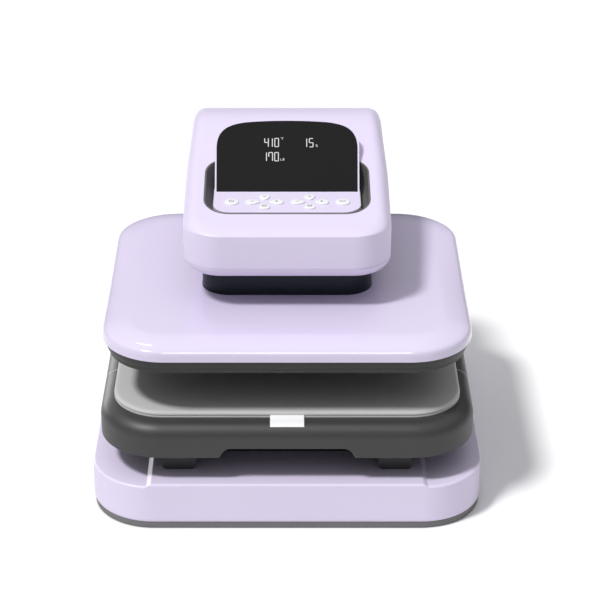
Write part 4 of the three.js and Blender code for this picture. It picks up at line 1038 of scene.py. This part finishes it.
def number_bars(text, centres, middle):
    """Bars of a number whose digits stand at the given centres, middle being their height on the screen."""
    half, tall = DIGIT["wide"] / 2, DIGIT["high"] / 2
    ends = {"a": ((-half, tall), (half, tall)), "b": ((half, 0), (half, tall)),
            "c": ((half, -tall), (half, 0)), "d": ((-half, -tall), (half, -tall)),
            "e": ((-half, -tall), (-half, 0)), "f": ((-half, 0), (-half, tall)),
            "g": ((-half, 0), (half, 0))}
    shapes = []
    for digit, x in zip(text, centres):
        shift = x - half if digit == "1" else x
        for letter in SEGMENTS[digit]:
            start, end = [(shift + dx, middle + dy) for dx, dy in ends[letter]]
            shapes.append(bar_points(start, end, DIGIT["bar"]))
    return shapes


print("bars in the number 410:", len(number_bars("410", (0, 6, 12), 0)))


# %% The lit numbers and their unit marks
def lit(name, shapes):
    """Bars that stand a little proud of the screen and glow."""
    piece = place(flat_blocks(name, shapes, -0.2, DIGIT["proud"]), on_screen)
    return dress(piece, lit_digits, "stand")


lit("digits_heat", number_bars("410", (-22.9, -16.4, -11.6), 69.3))
lit("digits_time", number_bars("15", (21.8, 26.8), 69.0))
lit("digits_force", number_bars("170", (-22.8, -18.2, -11.7), 49.3))
marks = [[(-7.2, 76.4), (-6.5, 76.4)], [(-5.6, 73.4), (-5.6, 76.2)], [(-5.6, 76.2), (-4.2, 76.2)],
         [(-5.6, 74.9), (-4.6, 74.9)], [(32.0, 63.4), (33.6, 63.4)], [(33.6, 63.4), (33.6, 64.8)],
         [(32.0, 64.8), (33.6, 64.8)], [(32.0, 64.8), (32.0, 66.2)], [(32.0, 66.2), (33.6, 66.2)],
         [(-7.2, 44.2), (-7.2, 47.0)], [(-7.2, 44.2), (-5.8, 44.2)], [(-4.6, 44.2), (-3.4, 44.2)],
         [(-4.6, 47.0), (-3.4, 47.0)], [(-4.6, 44.2), (-4.6, 47.0)], [(-4.6, 45.6), (-3.6, 45.6)],
         [(-3.3, 44.3), (-3.3, 46.9)]]
lit("digits_units", [bar_points(a, b, UNIT_BAR) for a, b in marks])
print("digits lit")

# %% [markdown]
# ## The buttons
#
# Two round buttons stand at the ends of the row, and between them lie two rings of four petals. A petal is
# round on its outer side and narrows towards the middle of its ring. Its cap is domed a little, so each one
# catches its own small light. Every button is a moving body, so its cap and its mark ride on that body.

# %% Petal outline and cap
ROW = 24.3
PETAL_PINCH = 0.34


def egg(width, depth, tip_angle, pinch, steps=40):
    """An outline that narrows towards tip_angle. width and depth are its sizes along X and Y."""
    points = []
    for step in range(steps):
        angle = 2 * math.pi * step / steps
        along, across = math.cos(angle), math.sin(angle) * (1 - pinch * math.cos(angle))
        x = along * math.cos(tip_angle) - across * math.sin(tip_angle)
        y = along * math.sin(tip_angle) + across * math.cos(tip_angle)
        points.append((x * width / 2, y * depth / 2))
    return points


def build_cap(name, x, y, width, depth, tip_angle=0.0, pinch=0.0):
    """A button with an upright side, a small round and a shallow dome."""
    outline = egg(width, depth, tip_angle, pinch)
    levels = [(1.0, -3.1), (1.0, 0.7), (0.985, 1.0), (0.95, 1.22), (0.88, 1.36), (0.6, 1.45), (0.3, 1.49)]
    verts = [(x + px * size, y + ROW + py * size, height) for size, height in levels for px, py in outline]
    count = len(outline)
    faces = [tuple(reversed(range(count))), tuple(range(count * (len(levels) - 1), count * len(levels)))]
    faces += ring_faces(count, len(levels))
    cap = place(new_piece(name + "_cap", verts, faces), on_shelf)
    smooth(cap, 50)
    return dress(cap, button_white, name, [name])


print("points round a button:", len(egg(16, 16, 0, 0)))


# %% All ten buttons
# A petal's name, its middle from the ring's middle, its width and depth, and where its narrow end points.
petals = [("up", 0, 11.4, 11.5, 13.6, -math.pi / 2), ("down", 0, -11.4, 11.5, 13.6, math.pi / 2),
          ("left", -13, 0, 15.8, 12.6, 0), ("right", 13, 0, 15.8, 12.6, math.pi)]
places = {"power_button": (-60.2, 0), "start_button": (60.2, 0)}
for name, (x, y) in places.items():
    build_cap(name, x, y, 16, 16)
for side, middle in (("left", -24.5), ("right", 24.5)):
    for way, dx, dy, width, depth, tip in petals:
        name = f"{side}_pad_{way}"
        places[name] = (middle + dx, dy)
        build_cap(name, middle + dx, dy, width, depth, tip, PETAL_PINCH)
print("buttons:", sorted(places))


# %% [markdown]
# Each button has one small grey printed mark that says what it does in general: a broken ring for power,
# an arrow, a small box, plus, minus and short bars for start. A mark is a set of thin strips on the cap.

# %% Shapes of the printed marks
MARK_SCALE = 1.25
MARK_BAR = 0.9
MARK_LOW = 1.3
MARK_HIGH = 1.53


def arc(radius, first, last, steps=10):
    """Short strokes along part of a circle."""
    angles = [math.radians(first + (last - first) * i / steps) for i in range(steps + 1)]
    dots = [(radius * math.cos(a), radius * math.sin(a)) for a in angles]
    return list(zip(dots, dots[1:]))


MARKS = {
    "power_button": arc(1.9, -240, 60) + [((0, 0.6), (0, 2.4))],
    "start_button": [((-2.6, 0.8), (-0.9, 0.8)), ((0.2, 0.8), (2.6, 0.8)), ((-2.6, -0.8), (0.6, -0.8)),
                     ((1.5, -0.8), (2.6, -0.8))],
    "up": [((-1.1, -0.5), (0, 0.9)), ((0, 0.9), (1.1, -0.5))],
    "down": [((-1.5, -1.2), (1.5, -1.2)), ((-1.5, 1.2), (1.5, 1.2)), ((-1.5, -1.2), (-1.5, 1.2)),
             ((1.5, -1.2), (1.5, 1.2))],
    "left": [((-1.4, 0), (1.4, 0))],
    "right": [((-1.3, 0), (1.3, 0)), ((0, -1.3), (0, 1.3))],
}
print("kinds of mark:", len(MARKS))


# %% Printing them on the caps
def print_mark(button):
    kind = button if button in MARKS else button.rsplit("_", 1)[1]
    x, y = places[button]
    strokes = [[(x + MARK_SCALE * dx, y + ROW + MARK_SCALE * dy) for dx, dy in stroke]
               for stroke in MARKS[kind]]
    shapes = [bar_points(start, end, MARK_BAR) for start, end in strokes]
    piece = place(flat_blocks(button + "_mark", shapes, MARK_LOW, MARK_HIGH), on_shelf)
    return dress(piece, icon_grey, button)


for button in places:
    print_mark(button)
print("marks printed:", len(places))

# %% [markdown]
# ## Parts that keep their CAD shape
#
# Rails, rods, boards, the column's cover and the socket already have the right shape. They only need a
# finish, smooth shading and a softened edge. A node's own vertices are never changed, so the bevel stays a
# modifier. Each line gives a finish, the bevel's width in millimetres and the parts that get both.

# %% Finishes for the carried-over parts
FINISHES = [
    (satin_lilac, 0.5, ["column_cover"]),
    (switch_black, 0.3, ["power_inlet", "switch_frame"]),
    (switch_black, 0.4, ["power_rocker"]),
    (switch_black, 0.6, ["rail_tie"]),
    (charcoal, 0.8, ["drawer_glide_left", "drawer_glide_right"]),
    (steel, 0, ["heating_element"]),
    (steel, 0.3, ["drawer_rail_left", "drawer_rail_right", "drawer_slider_left", "drawer_slider_right"]),
    (steel, 0.4, ["actuator_rod", "guide_rod_left", "guide_rod_right"]),
    (steel, 0.4, ["guide_bush_left", "guide_bush_right"]),
    (steel, 0.5, ["base_beam_left", "base_beam_right", "press_plate"]),
    (steel, 0.6, ["head_arm", "drive_motor"]),
    (steel, 0.8, ["column_post_left", "column_post_right"]),
    (aluminium, 0.4, ["lower_platen"]),
    (aluminium, 0.8, ["gearbox"]),
    (navy, 0.5, ["actuator_body"]),
    (board_green, 0.2, ["display_board", "button_board"]),
    (board_green, 0.3, ["power_board"]),
    (mineral_board, 0.4, ["insulation_board"]),
]
for material, width, nodes in FINISHES:
    for node in nodes:
        part = cad[node]
        part.data.materials.clear()
        part.data.materials.append(material)
        smooth(part, 35)
        if width:
            soften(part, width, angle=40)
print("carried over:", sum(len(nodes) for _, _, nodes in FINISHES), "parts")


# %% [markdown]
# ## Floor and light
#
# The photograph was lit in a white studio. A broad lamp stands high in front and to the left, so the plate
# shades most of the pad but leaves its left and front edges bright, and soft shadows fall to the right. A
# pale sky fills them. It is bright overhead and nearly dark at the horizon, so upright sides keep their shape
# where an even white sky would wash them out. The floor is one plain white sheet.

# %% Floor
FAR = 9000
floor = new_piece("studio_floor", [(-FAR, -FAR, 0), (FAR, -FAR, 0), (FAR, FAR, 0), (-FAR, FAR, 0)],
                  [(0, 1, 2, 3)])
paper, _, paper_shader = open_material("studio_paper")
paper_shader.inputs["Base Color"].default_value = (0.84, 0.84, 0.843, 1)
paper_shader.inputs["Roughness"].default_value = 0.9
paper_shader.inputs["Specular IOR Level"].default_value = 0.0
floor.data.materials.append(paper)
print("floor:", 2 * FAR * MM, "metres wide")

# %% Sky
world = bpy.data.worlds.new("studio")
world.use_nodes = True
sky = world.node_tree
up = sky.nodes.new("ShaderNodeTexCoord")
split = sky.nodes.new("ShaderNodeSeparateXYZ")
ramp = sky.nodes.new("ShaderNodeMapRange")
ramp.inputs["From Min"].default_value = 0.15
ramp.inputs["From Max"].default_value = 0.95
ramp.inputs["To Min"].default_value = 0.03
ramp.inputs["To Max"].default_value = 0.92
sky.links.new(up.outputs["Generated"], split.inputs["Vector"])
sky.links.new(split.outputs["Z"], ramp.inputs["Value"])
sky.nodes["Background"].inputs["Color"].default_value = (0.98, 0.98, 1.01, 1)
sky.links.new(ramp.outputs["Result"], sky.nodes["Background"].inputs["Strength"])
bpy.context.scene.world = world
print("sky ready")


# %% [markdown]
# The key lamp is a sun, whose angle sets how soft the shadows are. A studio also has soft boxes that only
# show as bright lines in glossy parts. Here a soft box reaches just the pieces in its own collection, by
# light linking, and three of the five add their reflection alone. Their names say what they draw: the long
# line on the cover's front, the spark on its left corner, and the rim of the tray. The other two are low and
# fill the fronts of the base and the head, as a white card in front of them would.

# %% Lamp helpers
def aim(lamp, place_at, target, along=None):
    """Points a lamp at its target. along turns its long side into that direction."""
    lamp.location = place_at
    back = (Vector(place_at) - Vector(target)).normalized()
    turn = back.to_track_quat("Z", "Y").to_matrix()
    if along:
        side = Vector(along)
        side = (side - back * side.dot(back)).normalized()
        turn = Matrix((side, back.cross(side), back)).transposed()
    lamp.rotation_euler = turn.to_euler()


def soft_box(name, place_at, target, size, power, along=None, lights=(), diffuse=False):
    """A lamp for the pieces in lights alone. It adds only its reflection, unless diffuse is on."""
    data = bpy.data.lights.new(name, "AREA")
    data.shape = "RECTANGLE"
    data.size, data.size_y = size
    data.energy = power
    lamp = bpy.data.objects.new(name, data)
    bpy.context.scene.collection.objects.link(lamp)
    lamp.visible_camera = False
    lamp.visible_diffuse = diffuse
    aim(lamp, place_at, target, along)
    reached = bpy.data.collections.new(name + "_reaches")
    for piece in lights:
        reached.objects.link(piece)
    lamp.light_linking.receiver_collection = reached


print("lamp helpers ready")


# %% The key lamp
sun_data = bpy.data.lights.new("key", "SUN")
sun_data.energy = 2.6
sun_data.angle = math.radians(9)
sun = bpy.data.objects.new("key", sun_data)
bpy.context.scene.collection.objects.link(sun)
aim(sun, (-0.47, -0.30, 1.0), (0, 0, 0))
print("key lamp:", round(math.degrees(sun_data.angle), 1), "degrees wide")

# %% The soft boxes
soft_box("front_line", (0, -2.3, 2.6), (0, -0.2, 0.2), (0.9, 1.5), 24, lights=[cover])
soft_box("corner_spark", (-0.79, 1.32, 2.71), (-0.15, -0.185, 0.2075), (0.42, 0.045), 1.9,
         along=(0.84, -0.341, 0.421), lights=[cover])
soft_box("rim_panel", (-1.5, 2.3, 0.32), (-0.19, 0, 0.12), (2.0, 0.6), 30, lights=[tray, seal, base])
soft_box("base_fill", (0.2, -2.6, 0.12), (0, -0.215, 0.03), (2.0, 0.24), 6.0, lights=[base],
         diffuse=True)
soft_box("head_fill", (0.1, -2.4, 0.3), (0, -0.12, 0.27), (2.0, 0.24), 3.5, lights=[lid, under],
         diffuse=True)
print("soft boxes:", sum(light.type == "AREA" for light in bpy.data.lights))
